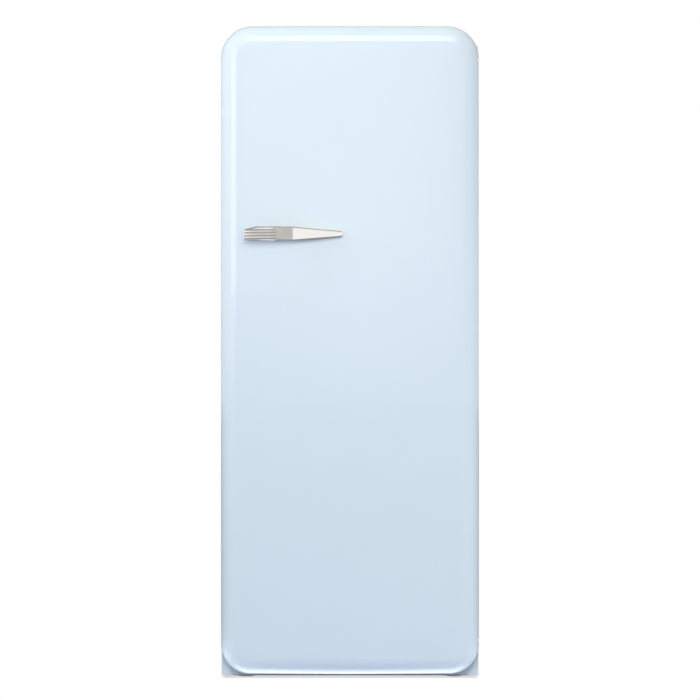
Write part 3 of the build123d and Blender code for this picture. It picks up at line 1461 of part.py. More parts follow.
def compressor_grommets():
    """Rubber feet between the plate and the compressor."""
    rings = []
    for x, y in mount_points():
        z0 = BASE_TOP + MOUNT_PLATE
        ring = along_z(GROMMET_DIAMETER, x, y, z0, z0 + GROMMET_HEIGHT)
        ring = chamfer(ring.edges().filter_by(GeomType.CIRCLE), GROMMET_EDGE)
        rings.append(ring - along_z(MOUNT_STUD, x, y, z0, z0 + GROMMET_HEIGHT))
    return Compound(children=rings)


def relay_box():
    """Plastic cover on the compressor's terminals."""
    x, y, z = compressor_centre()
    near = x - COMPRESSOR_LENGTH / 2 - SEAM_PROUD - FIT
    low = z + RELAY_LEVEL
    half = RELAY_LENGTH
    box = slab(near - RELAY_LENGTH, near, y - half, y + half, low, low + 2 * RELAY_LENGTH)
    box = fillet(box.edges().filter_by(Axis.X), SEAM_HEIGHT)
    return fillet(box.faces().sort_by(Axis.X)[0].edges(), SEAM_HEIGHT / 2)


def evaporating_tray():
    """Open tray on the compressor that takes the melt water."""
    x, y, z = compressor_centre()
    top = z + MOUNT_PLATE + COMPRESSOR_HEIGHT
    half_x = COMPRESSOR_LENGTH / 2 - TRAY_WALL
    half_y = COMPRESSOR_WIDTH / 2 - TRAY_WALL
    tray = slab(x - half_x, x + half_x, y - half_y, y + half_y, top, top + TRAY_HEIGHT)
    tray = fillet(tray.edges().filter_by(Axis.Z), DRAWER_CORNER)
    wall = TRAY_WALL
    inner_x = half_x - wall
    inner_y = half_y - wall
    hollow = slab(x - inner_x, x + inner_x, y - inner_y, y + inner_y, top + wall, top + TRAY_HEIGHT)
    return tray - fillet(hollow.edges().filter_by(Axis.Z), DRAWER_CORNER - wall)


def condenser_passes():
    """Heights of the condenser's passes from the bottom up."""
    low = NICHE_TOP + CONDENSER_BOTTOM_GAP
    room = TOP_Z - CONDENSER_TOP_GAP - low
    count = int(room // (2 * CONDENSER_PITCH)) * 2
    return [low + CONDENSER_PITCH * number for number in range(count)]


def suction_x():
    """X of the suction pipe where it rises beside the compressor."""
    x, _, _ = compressor_centre()
    return x + COMPRESSOR_LENGTH / 2 + STUB_LENGTH + NICHE_PIPE_GAP


def drier_place():
    """X, Y and lower end of the filter drier."""
    return suction_x() + DRIER_SIDE_GAP, BACK_Y - DRIER_BACK_GAP, BASE_TOP + 2 * NICHE_PIPE_GAP


def condenser_tube():
    """One unbroken serpentine from the compressor's side of the back down to the drier."""
    levels = condenser_passes()
    drier_x, drier_y, drier_z = drier_place()
    drier_top = drier_z + DRIER_LENGTH + FIT
    points = [(drier_x, drier_y, drier_top), (drier_x, drier_y, NICHE_TOP - NICHE_PIPE_GAP)]
    points.append((drier_x, CONDENSER_Y, NICHE_TOP - NICHE_PIPE_GAP))
    points.append((drier_x, CONDENSER_Y, levels[0]))
    side = -1
    for z in levels:
        points.append((side * CONDENSER_X, CONDENSER_Y, z))
        if z != levels[-1]:
            points.append((side * CONDENSER_X, CONDENSER_Y, z + CONDENSER_PITCH))
        side = -side
    points[-1] = (CONDENSER_FEED_X, CONDENSER_Y, levels[-1])
    points.append((CONDENSER_FEED_X, CONDENSER_Y, NICHE_TOP - NICHE_PIPE_GAP))
    points.append((CONDENSER_FEED_X, drier_y, NICHE_TOP - NICHE_PIPE_GAP))
    return tube(points, 3 * CONDENSER_TUBE, CONDENSER_TUBE)


def condenser_wires():
    """Thin upright wires across the passes that shed the heat."""
    levels = condenser_passes()
    y = CONDENSER_Y + CONDENSER_TUBE / 2 + CONDENSER_WIRE / 2 + FIT / 3
    reach = CONDENSER_PITCH / 3
    half = CONDENSER_X - 4 * CONDENSER_TUBE
    wires = []
    for number in range(CONDENSER_WIRE_COUNT):
        x = -half + 2 * half * number / (CONDENSER_WIRE_COUNT - 1)
        wires.append(along_z(CONDENSER_WIRE, x, y, levels[0] - reach, levels[-1] + reach))
    return Compound(children=wires)


def condenser_brackets():
    """Four clips that hold the condenser off the back."""
    levels = condenser_passes()
    spacing = 2 * (CONDENSER_X - 4 * CONDENSER_TUBE) / (CONDENSER_WIRE_COUNT - 1)
    half = spacing / 3
    tall = CONDENSER_CLIP / 2
    mouth = CONDENSER_Y + CONDENSER_TUBE / 4
    clips = []
    for z in (levels[1], levels[-2]):
        for side in (-1, 1):
            x = side * spacing * (CONDENSER_WIRE_COUNT // 2 - 1.5)
            clip = slab(x - half, x + half, BACK_Y, CONDENSER_Y, z - tall, z + tall)
            clip += along_x(CONDENSER_CLIP, x - half, x + half, CONDENSER_Y - CONDENSER_TUBE, z)
            clip -= slab(x - half, x + half, mouth, mouth + tall, z - tall, z + tall)
            clips.append(clip - along_x(CONDENSER_TUBE, x - half, x + half, CONDENSER_Y, z))
    return Compound(children=clips)


def wall_spacers():
    """Two pegs that keep the back off the wall."""
    pegs = []
    z = TOP_Z - SPACER_INSET
    for x in (-HALF_WIDTH + SPACER_INSET, HALF_WIDTH - SPACER_INSET):
        peg = along_y(SPACER_DIAMETER, x, BACK_Y, BACK_Y + SPACER_FLANGE, z)
        peg += along_y(SPACER_NECK, x, BACK_Y, BACK_Y + SPACER_PROUD, z)
        pegs.append(fillet(peg.faces().sort_by(Axis.Y)[-1].edges(), SPACER_EDGE))
    return Compound(children=pegs)


def filter_drier():
    """Copper cartridge with drawn-in ends."""
    x, y, z = drier_place()
    body = along_z(DRIER_DIAMETER, x, y, z, z + DRIER_LENGTH)
    return fillet(body.edges().filter_by(GeomType.CIRCLE), DRIER_DIAMETER / 3)


def capillary_points():
    """Corners of the fine tube's route from the drier, round its loops and up to the wall."""
    x, y, z = drier_place()
    reach = CAPILLARY_LOOP
    near = y - reach
    far = near - 2 * reach
    level = z - NICHE_PIPE_GAP
    points = [(x, y, z - FIT), (x, y, level)]
    for loop in range(CAPILLARY_LOOPS):
        points.append((x, far, level))
        points.append((x + reach, far, level))
        points.append((x + reach, near, level))
        level += CAPILLARY_PITCH
        points.append((x, near, level))
    points.append((x - reach, near, level))
    points.append((x - reach, near, NICHE_TOP))
    return points


def capillary_tube():
    """Fine copper tube from the drier, wound in a few loops before it enters the wall."""
    return tube(capillary_points(), 3 * CAPILLARY, CAPILLARY)


def least_gap(points, radius, diameter):
    """The smallest distance between two stretches of one bent tube, measured on points along it."""
    path = FilletPolyline(*points, radius=radius)
    steps = int(path.length / diameter)
    spots = [tuple(path @ (step / steps)) for step in range(steps + 1)]
    apart = int(4 * radius / diameter)
    pairs = [(a, b) for a in range(len(spots)) for b in range(a + apart, len(spots))]
    return min(dist(spots[a], spots[b]) for a, b in pairs) - diameter


def refrigerant_pipes():
    """Discharge pipe to the condenser and suction pipe from the ice box."""
    rise_x = suction_x()
    start = rise_x - NICHE_PIPE_GAP
    (suction_y, suction_z), (discharge_y, discharge_z) = stub_places()
    _, drier_y, _ = drier_place()
    suction_route = [
        (start, suction_y, suction_z),
        (rise_x, suction_y, suction_z),
        (rise_x, suction_y, NICHE_TOP),
    ]
    level = NICHE_TOP - NICHE_PIPE_GAP
    discharge_route = [
        (start, discharge_y, discharge_z),
        (CONDENSER_FEED_X, discharge_y, discharge_z),
        (CONDENSER_FEED_X, discharge_y, level),
        (CONDENSER_FEED_X, drier_y, level),
    ]
    suction = tube(suction_route, 2 * PIPE_DIAMETER, PIPE_DIAMETER)
    discharge = tube(discharge_route, 2 * PIPE_DIAMETER, CONDENSER_TUBE)
    return Compound(children=[suction, discharge])


def inlet_x():
    """X of the mains inlet's middle, beside the left roller's cheeks."""
    roller_x, _ = roller_places()[0]
    return roller_x + ROLLER_WIDTH / 2 + SWING_GAP + ROLLER_BRACKET + INLET_SIDE_GAP + INLET_WIDTH / 2


def mains_inlet():
    """Socket block on the floor sheet for a supply lead, with its three blades."""
    x = inlet_x()
    half = INLET_WIDTH / 2
    y1 = BACK_Y - CABINET_SHEET
    body = slab(x - half, x + half, y1 - INLET_DEPTH, y1, BASE_TOP, BASE_TOP + INLET_HEIGHT)
    body = fillet(body.edges().filter_by(Axis.Y), INLET_CORNER)
    z = BASE_TOP + INLET_HEIGHT / 2
    wide = INLET_RECESS_WIDTH / 2
    tall = INLET_RECESS_HEIGHT / 2
    recess = slab(x - wide, x + wide, y1 - INLET_RECESS, y1, z - tall, z + tall)
    body -= fillet(recess.edges().filter_by(Axis.Y), INLET_CORNER)
    thick = BLADE_THICKNESS / 2
    for place in (-1, 0, 1):
        blade_x = x + place * BLADE_PITCH
        low = z - BLADE_HEIGHT / 2 + BLADE_STAGGER * (2 / 3 - abs(place))
        root = y1 - INLET_RECESS - thick
        body += slab(blade_x - thick, blade_x + thick, root, y1 - BLADE_SETBACK, low, low + BLADE_HEIGHT)
    return body


def shell_with_holes():
    """The outer shell with clearance holes for the hinge screws."""
    shell = cabinet_shell()
    for shank in hinge_screw_shanks(FIT):
        shell -= shank
    return shell


def foam_with_holes():
    """The cabinet foam with room for the hinge screws."""
    foam = insulation_foam()
    for shank in hinge_screw_shanks(FIT):
        foam -= shank
    return foam


def foam_blocks():
    """The cabinet foam parted at the planes of the compartment: floor, roof, sides, step and back."""
    foam = foam_with_holes()
    wall = LINER_SHEET + FIT
    side = INNER_X + wall
    floor, roof = INNER_FLOOR - wall, INNER_TOP + wall
    niche = NICHE_TOP + CABINET_SHEET + FIT
    step = STEP_TOP - wall
    blocks = []
    for x0, x1, z0, z1 in (
        (-HALF_WIDTH, HALF_WIDTH, BOTTOM_Z, floor),
        (-HALF_WIDTH, HALF_WIDTH, roof, TOP_Z),
        (-HALF_WIDTH, -side, floor, roof),
        (side, HALF_WIDTH, floor, roof),
        (-side, side, floor, niche),
        (-side, side, niche, step),
        (-side, side, step, roof),
    ):
        blocks.append(foam & slab(x0, x1, FRONT_Y, BACK_Y, z0, z1))
    return Compound(children=blocks)


def build():
    """Every node of the refrigerator by name."""
    left_foot, right_foot = foot_places()
    left_roller, right_roller = roller_places()
    levels = bin_levels()
    return {
        "cabinet_shell": shell_with_holes(),
        "back_panel": back_panel(),
        "base_pan": base_pan(),
        "front_base_rail": front_base_rail(),
        "insulation_foam": foam_blocks(),
        "inner_liner": inner_liner(),
        "niche_panel": niche_panel(),
        "hinge_brackets": hinge_brackets(),
        "hinge_pins": hinge_pins(),
        "hinge_screws": hinge_screws(),
        "icebox_evaporator": icebox_evaporator(),
        "icebox_frame": icebox_frame(),
        "icebox_hangers": icebox_hangers(),
        "icebox_flap": icebox_flap(),
        "crisper_cover_glass": shelf_glass(COVER_Z),
        "chill_shelf_glass": shelf_glass(CHILL_SHELF_Z),
        "lower_shelf_glass": shelf_glass(OPEN_SHELF_Z[1]),
        "middle_shelf_glass": shelf_glass(OPEN_SHELF_Z[2]),
        "upper_shelf_glass": shelf_glass(OPEN_SHELF_Z[3]),
        "shelf_front_trims": shelf_front_trims(),
        "shelf_rear_trims": shelf_rear_trims(),
        "wine_rack": wine_rack(),
        "crisper_drawer": crisper_drawer(),
        "chill_drawer": chill_drawer(),
        "control_housing": control_housing(),
        "lamp_lens": lamp_lens(),
        "lamp_board": lamp_board(),
        "thermostat": thermostat(),
        "thermostat_dial": thermostat_dial(),
        "door_skin": door_skin(),
        "door_foam": door_foam(),
        "door_liner": door_liner(),
        "door_gasket": door_gasket(),
        "hinge_bushes": hinge_bushes(),
        "handle": handle(),
        "handle_screws": handle_screws(),
        "bottle_bin": door_bin(levels[0], BOTTLE_BIN_HEIGHT),
        "bottle_rail": bottle_rail(),
        "lower_bin": door_bin(levels[1], BIN_HEIGHT),
        "upper_bin": door_bin(levels[2], BIN_HEIGHT),
        "dairy_bin": dairy_bin(),
        "dairy_lid": dairy_lid(),
        "compressor": compressor(),
        "compressor_rail": compressor_rail(),
        "compressor_grommets": compressor_grommets(),
        "relay_box": relay_box(),
        "evaporating_tray": evaporating_tray(),
        "condenser_tube": condenser_tube(),
        "condenser_wires": condenser_wires(),
        "condenser_brackets": condenser_brackets(),
        "wall_spacers": wall_spacers(),
        "filter_drier": filter_drier(),
        "capillary_tube": capillary_tube(),
        "refrigerant_pipes": refrigerant_pipes(),
        "mains_inlet": mains_inlet(),
        "left_front_foot": levelling_foot(*left_foot),
        "right_front_foot": levelling_foot(*right_foot),
        "roller_axles": roller_axles(),
        "left_roller": roller(*left_roller),
        "right_roller": roller(*right_roller),
    }


if __name__ == "__main__":
    os.makedirs("parts", exist_ok=True)
    for name, shape in build().items():
        export_step(shape, os.path.join("parts", name + ".step"))
    gap = least_gap(capillary_points(), 3 * CAPILLARY, CAPILLARY)
    print(f"least gap of the capillary tube to itself {gap:.2f} mm")
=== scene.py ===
import json
import math

import bmesh
import bpy
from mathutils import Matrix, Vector


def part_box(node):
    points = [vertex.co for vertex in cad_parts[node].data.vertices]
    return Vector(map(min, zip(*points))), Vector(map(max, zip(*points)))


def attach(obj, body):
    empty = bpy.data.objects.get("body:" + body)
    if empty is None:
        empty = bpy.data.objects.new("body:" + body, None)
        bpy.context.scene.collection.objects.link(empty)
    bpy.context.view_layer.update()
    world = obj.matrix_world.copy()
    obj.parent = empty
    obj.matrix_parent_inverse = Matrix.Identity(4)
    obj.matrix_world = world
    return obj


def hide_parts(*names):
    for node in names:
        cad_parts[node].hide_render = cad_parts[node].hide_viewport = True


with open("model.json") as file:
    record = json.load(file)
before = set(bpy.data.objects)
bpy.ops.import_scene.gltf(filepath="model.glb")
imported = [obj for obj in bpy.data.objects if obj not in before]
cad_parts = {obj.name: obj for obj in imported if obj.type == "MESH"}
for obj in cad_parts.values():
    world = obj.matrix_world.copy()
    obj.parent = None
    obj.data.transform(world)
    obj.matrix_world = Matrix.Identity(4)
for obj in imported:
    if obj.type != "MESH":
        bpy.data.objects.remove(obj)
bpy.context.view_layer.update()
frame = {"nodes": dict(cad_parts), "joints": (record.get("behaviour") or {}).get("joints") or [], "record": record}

MM = 0.001

# Sizes of the pressed door and cabinet, in millimetres as in the part's source
TOP_CORNER = 74
DOOR_BOTTOM_CORNER = 68
DOOR_EDGE = 40
DOOR_CROWN_ACROSS = 10
DOOR_CROWN_DOWN = 8
DOOR_SHEET = 1.2
DOOR_RETURN = 12
CABINET_SHEET = 1.0
CABINET_FLANGE = 25
HINGE_OPEN = 105
HINGE_LEAF_TALL = 70
HINGE_SLOT_HALF = 9.5
HINGE_SLOT_TALL = 8
HINGE_RELIEF = 6.5
HINGE_RELIEF_TALL = 73

# The bend of both sheets, a line of the cabinet's mesh, and how far the hinges' cuts reach, in millimetres
SHEET_BEND = 1.8
LINE_BEHIND_FRONT = 60
HINGE_SLOT_REACH = 160
HINGE_RELIEF_WIDE = 60
HINGE_RELIEF_SIDE = 0.3
PAST_THE_SHEET = 9

# Steps in the round stretches of the door and the cabinet, and in the flat ones of the door
BEND_STEPS = 3
DOOR_EDGE_STEPS = 16
DOOR_CORNER_STEPS = 14
DOOR_STEPS_ACROSS = 24
DOOR_STEPS_UPWARD = 60
CABINET_CORNER_STEPS = 20
SLOT_STEPS = 12

# Softened edges of the other pieces, in millimetres
USUAL_EDGE = 0.6
EDGE_OF = {
    "inner_liner": 1.6, "door_liner": 1.6, "door_gasket": 1.0, "handle": 0.2, "icebox_flap": 1.2,
    "icebox_frame": 1.2, "crisper_drawer": 0.7, "chill_drawer": 0.7, "bottle_bin": 0.7,
    "lower_bin": 0.7, "upper_bin": 0.7, "dairy_bin": 0.7, "dairy_lid": 0.7, "insulation_foam": 0,
    "door_foam": 0, "wine_rack": 0, "condenser_tube": 0, "capillary_tube": 0, "refrigerant_pipes": 0,
    "bottle_rail": 0, "lamp_board": 0.2, "hinge_screws": 0.2, "back_panel": 0.2, "niche_panel": 0.2,
    "front_base_rail": 0.3, "icebox_evaporator": 0.5, "evaporating_tray": 0.5,
}
EDGE_SEGMENTS = 2

# Angles in degrees: an edge is softened from the first, and shading stays smooth up to each of them
SOFTENED_FROM = 38
PRESSED_SMOOTH_TO = 35
WIRE_SMOOTH_TO = 60
SCREW_SMOOTH_TO = 40

# A solid's copy: merging in metres, flatness in degrees, and how the normals of its corners are set
MERGED_WITHIN = 2e-6
FLAT_WITHIN = 0.4
AREA_WEIGHT = 60
LEAST_COSINE = 0.8

# Condenser wires and the back panel's screws: counts, and sizes in millimetres
CONDENSER_WIRES = 25
WIRE_SIDES = 10
SCREW_RADIUS = 4.5
SCREW_HEIGHT = 2.2
SCREW_SIDES = 20
SCREW_TAPER = 0.72
SCREW_SLOT = (5.4, 1.1, 2.4)
SCREW_MARGIN = 14
SCREWS_ACROSS = 5
SCREWS_UPWARD = 7
SCREWS_FROM_SIDE = 90
SCREWS_FROM_BOTTOM = 60
SCREWS_FROM_TOP = 140

# The photograph's frame
IMAGE_SIDE = 700
MM_PER_PIXEL = 2.3385
CAMERA_DISTANCE = 9.0
CAMERA_HEIGHT = 0.7676
CAMERA_SENSOR = 36
CAMERA_SIGHT = 100

# The floor: its reach in metres, its look to the object, and the painted contact shadow that darkens its glow
# close to the object, as the camera sees it
FLOOR_REACH = 30
FLOOR_TINT = (0.46, 0.49, 0.72)
FLOOR_ROUGHNESS = 0.9
PAINTED_SHADOW_REACH = 0.012
PAINTED_SHADOW_LEVEL = 0.5
PAINTED_SHADOW_CLEAR = 0.7

# The studio's brightness: as a light, as it is mirrored, and the floor's as it is mirrored
STUDIO_LEVEL = 1.12
MIRRORED_LEVEL = 1.15
MIRRORED_FLOOR = 0.3

# The studio's share of that brightness, from straight down to straight up and from left to right
STUDIO_BY_HEIGHT = ((0.0, 1.0), (0.5, 1.0), (0.53, 0.95), (0.58, 0.62), (0.72, 0.52), (1.0, 0.45))
STUDIO_BY_SIDE = (
    (0.0, 1.0), (0.2, 0.85), (0.32, 0.5), (0.42, 0.6), (0.5, 1.0),
    (0.57, 0.85), (0.64, 0.98), (0.71, 0.92), (0.77, 0.5), (0.88, 1.0),
)

# Soft boxes: place, point faced, width and height in metres, watts, colour and what they do
WHITE = (1.0, 1.0, 1.0)
WARM_WHITE = (1.0, 0.99, 0.95)
FILL = {"mirrored": False, "lighting": True}
MIRRORED = {"mirrored": True, "lighting": False}
FILL_AND_MIRRORED = {"mirrored": True, "lighting": True}
SOFT_BOXES = {
    "strip_over_front": ((0, -0.63, 1.69), (0, -0.31, 1.505), (0.7, 0.25), 1.7, WARM_WHITE, MIRRORED),
    "soft_box_left": ((-2.1, -2.95, 1.85), (-0.2, -0.2, 1.3), (2.2, 1.8), 23, WHITE, MIRRORED),
    "fill_front": ((-0.1, -4.6, 1.75), (0, -0.3, 0.7), (1.8, 1.6), 101, WHITE, FILL),
    "fill_over_top": ((0, -0.45, 2.6), (0, -0.45, 0), (1.2, 0.5), 6.5, WHITE, FILL),
    "fill_beside_left": ((-1.5, -0.45, 1.7), (0, -0.35, 1.2), (0.5, 1.0), 8, WHITE, FILL),
    "fill_beside_right": ((1.4, -0.5, 0.3), (0, -0.35, 0.3), (0.5, 0.6), 2.4, WHITE, FILL),
    "strip_under_front": (
        (0, -0.287, 0.006), (0, -0.707, 0.916), (0.57, 0.024), 0.066, WHITE, FILL_AND_MIRRORED,
    ),
    "strip_low_left": ((-0.33, -0.288, 0.03), (0.47, -0.738, 0.23), (0.03, 0.05), 0.018, WHITE, FILL),
    "strip_low_right": ((0.33, -0.288, 0.03), (-0.47, -0.738, 0.23), (0.03, 0.05), 0.0105, WHITE, FILL),
}

# Noise levels between which a mask or a gloss goes from its low to its high end
DRIFT_SPAN = (0.35, 0.65)
SMEAR_SPAN = (0.3, 0.7)
BREAK_SPAN = (0.4, 0.65)
SMEARS_PER_DRIFT = 9.0

# Sockets of Blender's mix node, where several share a name
FIRST_NUMBER, SECOND_NUMBER, FIRST_COLOUR, SECOND_COLOUR = 2, 3, 6, 7
MIXED_NUMBER, MIXED_COLOUR = 0, 2


# Shader groups


def new_group(name, inputs, outputs):
    """An empty shader group with named sockets, and its input and output nodes."""
    group = bpy.data.node_groups.new(name, "ShaderNodeTree")
    for socket_name, kind, value in inputs:
        socket = group.interface.new_socket(socket_name, in_out="INPUT", socket_type=kind)
        socket.default_value = value
    for socket_name, kind in outputs:
        group.interface.new_socket(socket_name, in_out="OUTPUT", socket_type=kind)
    start = group.nodes.new("NodeGroupInput")
    end = group.nodes.new("NodeGroupOutput")
    return group, start, end


def noise(tree, vector, scale, detail=4.0, roughness=0.55):
    """A noise texture whose scale is a number or a socket."""
    node = tree.nodes.new("ShaderNodeTexNoise")
    node.inputs["Detail"].default_value = detail
    node.inputs["Roughness"].default_value = roughness
    tree.links.new(vector, node.inputs["Vector"])
    if isinstance(scale, (int, float)):
        node.inputs["Scale"].default_value = scale
    else:
        tree.links.new(scale, node.inputs["Scale"])
    return node.outputs["Fac"]


def remap(tree, value, low, high, to_low, to_high):
    """A clamped map range whose limits are numbers or sockets."""
    node = tree.nodes.new("ShaderNodeMapRange")
    tree.links.new(value, node.inputs["Value"])
    for name, limit in (("From Min", low), ("From Max", high), ("To Min", to_low), ("To Max", to_high)):
        if isinstance(limit, (int, float)):
            node.inputs[name].default_value = limit
        else:
            tree.links.new(limit, node.inputs[name])
    return node.outputs["Result"]


def blend_colour(tree, factor, first, second):
    """A colour mix whose colours are sockets."""
    node = tree.nodes.new("ShaderNodeMix")
    node.data_type = "RGBA"
    tree.links.new(factor, node.inputs["Factor"])
    tree.links.new(first, node.inputs[FIRST_COLOUR])
    tree.links.new(second, node.inputs[SECOND_COLOUR])
    return node.outputs[MIXED_COLOUR]


def make_drift_group():
    """Slow change of colour and gloss over a surface, with finer smears on top."""
    group, start, end = new_group(
        "surface_drift",
        [
            ("Vector", "NodeSocketVector", (0, 0, 0)),
            ("Colour", "NodeSocketColor", (0.8, 0.8, 0.8, 1)),
            ("Second Colour", "NodeSocketColor", (0.7, 0.7, 0.7, 1)),
            ("Scale", "NodeSocketFloat", 3.0),
            ("Rough Low", "NodeSocketFloat", 0.2),
            ("Rough High", "NodeSocketFloat", 0.3),
        ],
        [("Colour", "NodeSocketColor"), ("Roughness", "NodeSocketFloat")],
    )
    slow = noise(group, start.outputs["Vector"], start.outputs["Scale"])
    finer = group.nodes.new("ShaderNodeMath")
    finer.operation = "MULTIPLY"
    finer.inputs[1].default_value = SMEARS_PER_DRIFT
    group.links.new(start.outputs["Scale"], finer.inputs[0])
    smear = noise(group, start.outputs["Vector"], finer.outputs[0], detail=6.0, roughness=0.65)
    mask = remap(group, slow, *DRIFT_SPAN, 0.0, 1.0)
    colour = blend_colour(group, mask, start.outputs["Colour"], start.outputs["Second Colour"])
    rough = remap(group, smear, *SMEAR_SPAN, start.outputs["Rough Low"], start.outputs["Rough High"])
    group.links.new(colour, end.inputs["Colour"])
    group.links.new(rough, end.inputs["Roughness"])
    return group


def make_peel_group():
    """The fine waviness of sprayed enamel or moulded plastic, as a height."""
    group, start, end = new_group(
        "fine_peel",
        [
            ("Vector", "NodeSocketVector", (0, 0, 0)),
            ("Scale", "NodeSocketFloat", 300.0),
            ("Detail", "NodeSocketFloat", 2.0),
        ],
        [("Height", "NodeSocketFloat")],
    )
    node = group.nodes.new("ShaderNodeTexNoise")
    group.links.new(start.outputs["Vector"], node.inputs["Vector"])
    group.links.new(start.outputs["Scale"], node.inputs["Scale"])
    group.links.new(start.outputs["Detail"], node.inputs["Detail"])
    group.links.new(node.outputs["Fac"], end.inputs["Height"])
    return group


def make_drawn_group():
    """Long fine lines left by rolling or polishing, along one axis."""
    group, start, end = new_group(
        "drawn_lines",
        [
            ("Vector", "NodeSocketVector", (0, 0, 0)),
            ("Stretch", "NodeSocketVector", (8.0, 900.0, 900.0)),
            ("Low", "NodeSocketFloat", 0.2),
            ("High", "NodeSocketFloat", 0.4),
        ],
        [("Height", "NodeSocketFloat"), ("Roughness", "NodeSocketFloat")],
    )
    scaled = group.nodes.new("ShaderNodeVectorMath")
    scaled.operation = "MULTIPLY"
    group.links.new(start.outputs["Vector"], scaled.inputs[0])
    group.links.new(start.outputs["Stretch"], scaled.inputs[1])
    lines = noise(group, scaled.outputs[0], scale=1.0, detail=3.0)
    group.links.new(lines, end.inputs["Height"])
    rough = remap(group, lines, *SMEAR_SPAN, start.outputs["Low"], start.outputs["High"])
    group.links.new(rough, end.inputs["Roughness"])
    return group


def make_rub_group():
    """Rubbed edges: another colour in broken patches where the surface is sharply convex."""
    group, start, end = new_group(
        "edge_rub",
        [
            ("Vector", "NodeSocketVector", (0, 0, 0)),
            ("Colour", "NodeSocketColor", (0.8, 0.8, 0.8, 1)),
            ("Rubbed Colour", "NodeSocketColor", (0.9, 0.9, 0.9, 1)),
            ("Start", "NodeSocketFloat", 0.53),
            ("End", "NodeSocketFloat", 0.62),
            ("Break Scale", "NodeSocketFloat", 120.0),
        ],
        [("Colour", "NodeSocketColor")],
    )
    shape = group.nodes.new("ShaderNodeNewGeometry")
    edge = remap(group, shape.outputs["Pointiness"], start.outputs["Start"], start.outputs["End"], 0.0, 1.0)
    patches = noise(group, start.outputs["Vector"], start.outputs["Break Scale"])
    broken = remap(group, patches, *BREAK_SPAN, 0.0, 1.0)
    both = group.nodes.new("ShaderNodeMath")
    both.operation = "MULTIPLY"
    group.links.new(edge, both.inputs[0])
    group.links.new(broken, both.inputs[1])
    colour = blend_colour(group, both.outputs[0], start.outputs["Colour"], start.outputs["Rubbed Colour"])
    group.links.new(colour, end.inputs["Colour"])
    return group


DRIFT = make_drift_group()
PEEL = make_peel_group()
DRAWN = make_drawn_group()
RUB = make_rub_group()


# Finishes


def use_group(tree, group, vector, values, links=()):
    """Places a shader group with its own values."""
    node = tree.nodes.new("ShaderNodeGroup")
    node.node_tree = group
    tree.links.new(vector, node.inputs["Vector"])
    for name, value in values.items():
        node.inputs[name].default_value = value
    for source, name in links:
        tree.links.new(source, node.inputs[name])
    return node


def opaque(colour):
    """A colour with its alpha."""
    return (*colour, 1.0)


def finish(name, colour, second, rough, scale, peel=None, drawn=None, rubbed=None, plain=None, clear=None):
    """A finish with slow drift in colour and gloss, a fine height and, where asked, rubbed edges.

    A peel is a noise scale and a height in millimetres, and drawn lines are a stretch and a height.
    """
    material = bpy.data.materials.new(name)
    material.use_nodes = True
    tree = material.node_tree
    shader = tree.nodes["Principled BSDF"]
    place = tree.nodes.new("ShaderNodeTexCoord").outputs["Object"]
    drift = use_group(
        tree,
        DRIFT,
        place,
        {
            "Colour": opaque(colour),
            "Second Colour": opaque(second),
            "Scale": scale,
            "Rough Low": rough[0],
            "Rough High": rough[1],
        },
    )
    colour_out = drift.outputs["Colour"]
    if rubbed:
        rub = use_group(tree, RUB, place, {"Rubbed Colour": opaque(rubbed)}, [(colour_out, "Colour")])
        colour_out = rub.outputs["Colour"]
    tree.links.new(colour_out, shader.inputs["Base Color"])
    tree.links.new(drift.outputs["Roughness"], shader.inputs["Roughness"])
    height = None
    if peel:
        node = use_group(tree, PEEL, place, {"Scale": peel[0]})
        height, lift = node.outputs["Height"], peel[1]
    if drawn:
        node = use_group(tree, DRAWN, place, {"Stretch": drawn[0], "Low": rough[0], "High": rough[1]})
        height, lift = node.outputs["Height"], drawn[1]
        tree.links.new(node.outputs["Roughness"], shader.inputs["Roughness"])
    if height:
        bump = tree.nodes.new("ShaderNodeBump")
        bump.inputs["Strength"].default_value = 1.0
        bump.inputs["Distance"].default_value = lift * MM
        tree.links.new(height, bump.inputs["Height"])
        tree.links.new(bump.outputs["Normal"], shader.inputs["Normal"])
    for socket, value in (plain or {}).items():
        shader.inputs[socket].default_value = value
    if clear:
        let_light_through(tree, shader, clear)
    return material


def let_light_through(tree, shader, tint):
    """Lets light fall through a clear piece on what lies behind it."""
    path = tree.nodes.new("ShaderNodeLightPath")
    open_way = tree.nodes.new("ShaderNodeBsdfTransparent")
    open_way.inputs["Color"].default_value = opaque(tint)
    mix = tree.nodes.new("ShaderNodeMixShader")
    tree.links.new(path.outputs["Is Shadow Ray"], mix.inputs["Fac"])
    tree.links.new(shader.outputs[0], mix.inputs[1])
    tree.links.new(open_way.outputs[0], mix.inputs[2])
    tree.links.new(mix.outputs[0], tree.nodes["Material Output"].inputs["Surface"])


ENAMEL = {"IOR": 1.5, "Coat Weight": 0.6, "Coat Roughness": 0.03}
METAL = {"Metallic": 1.0}

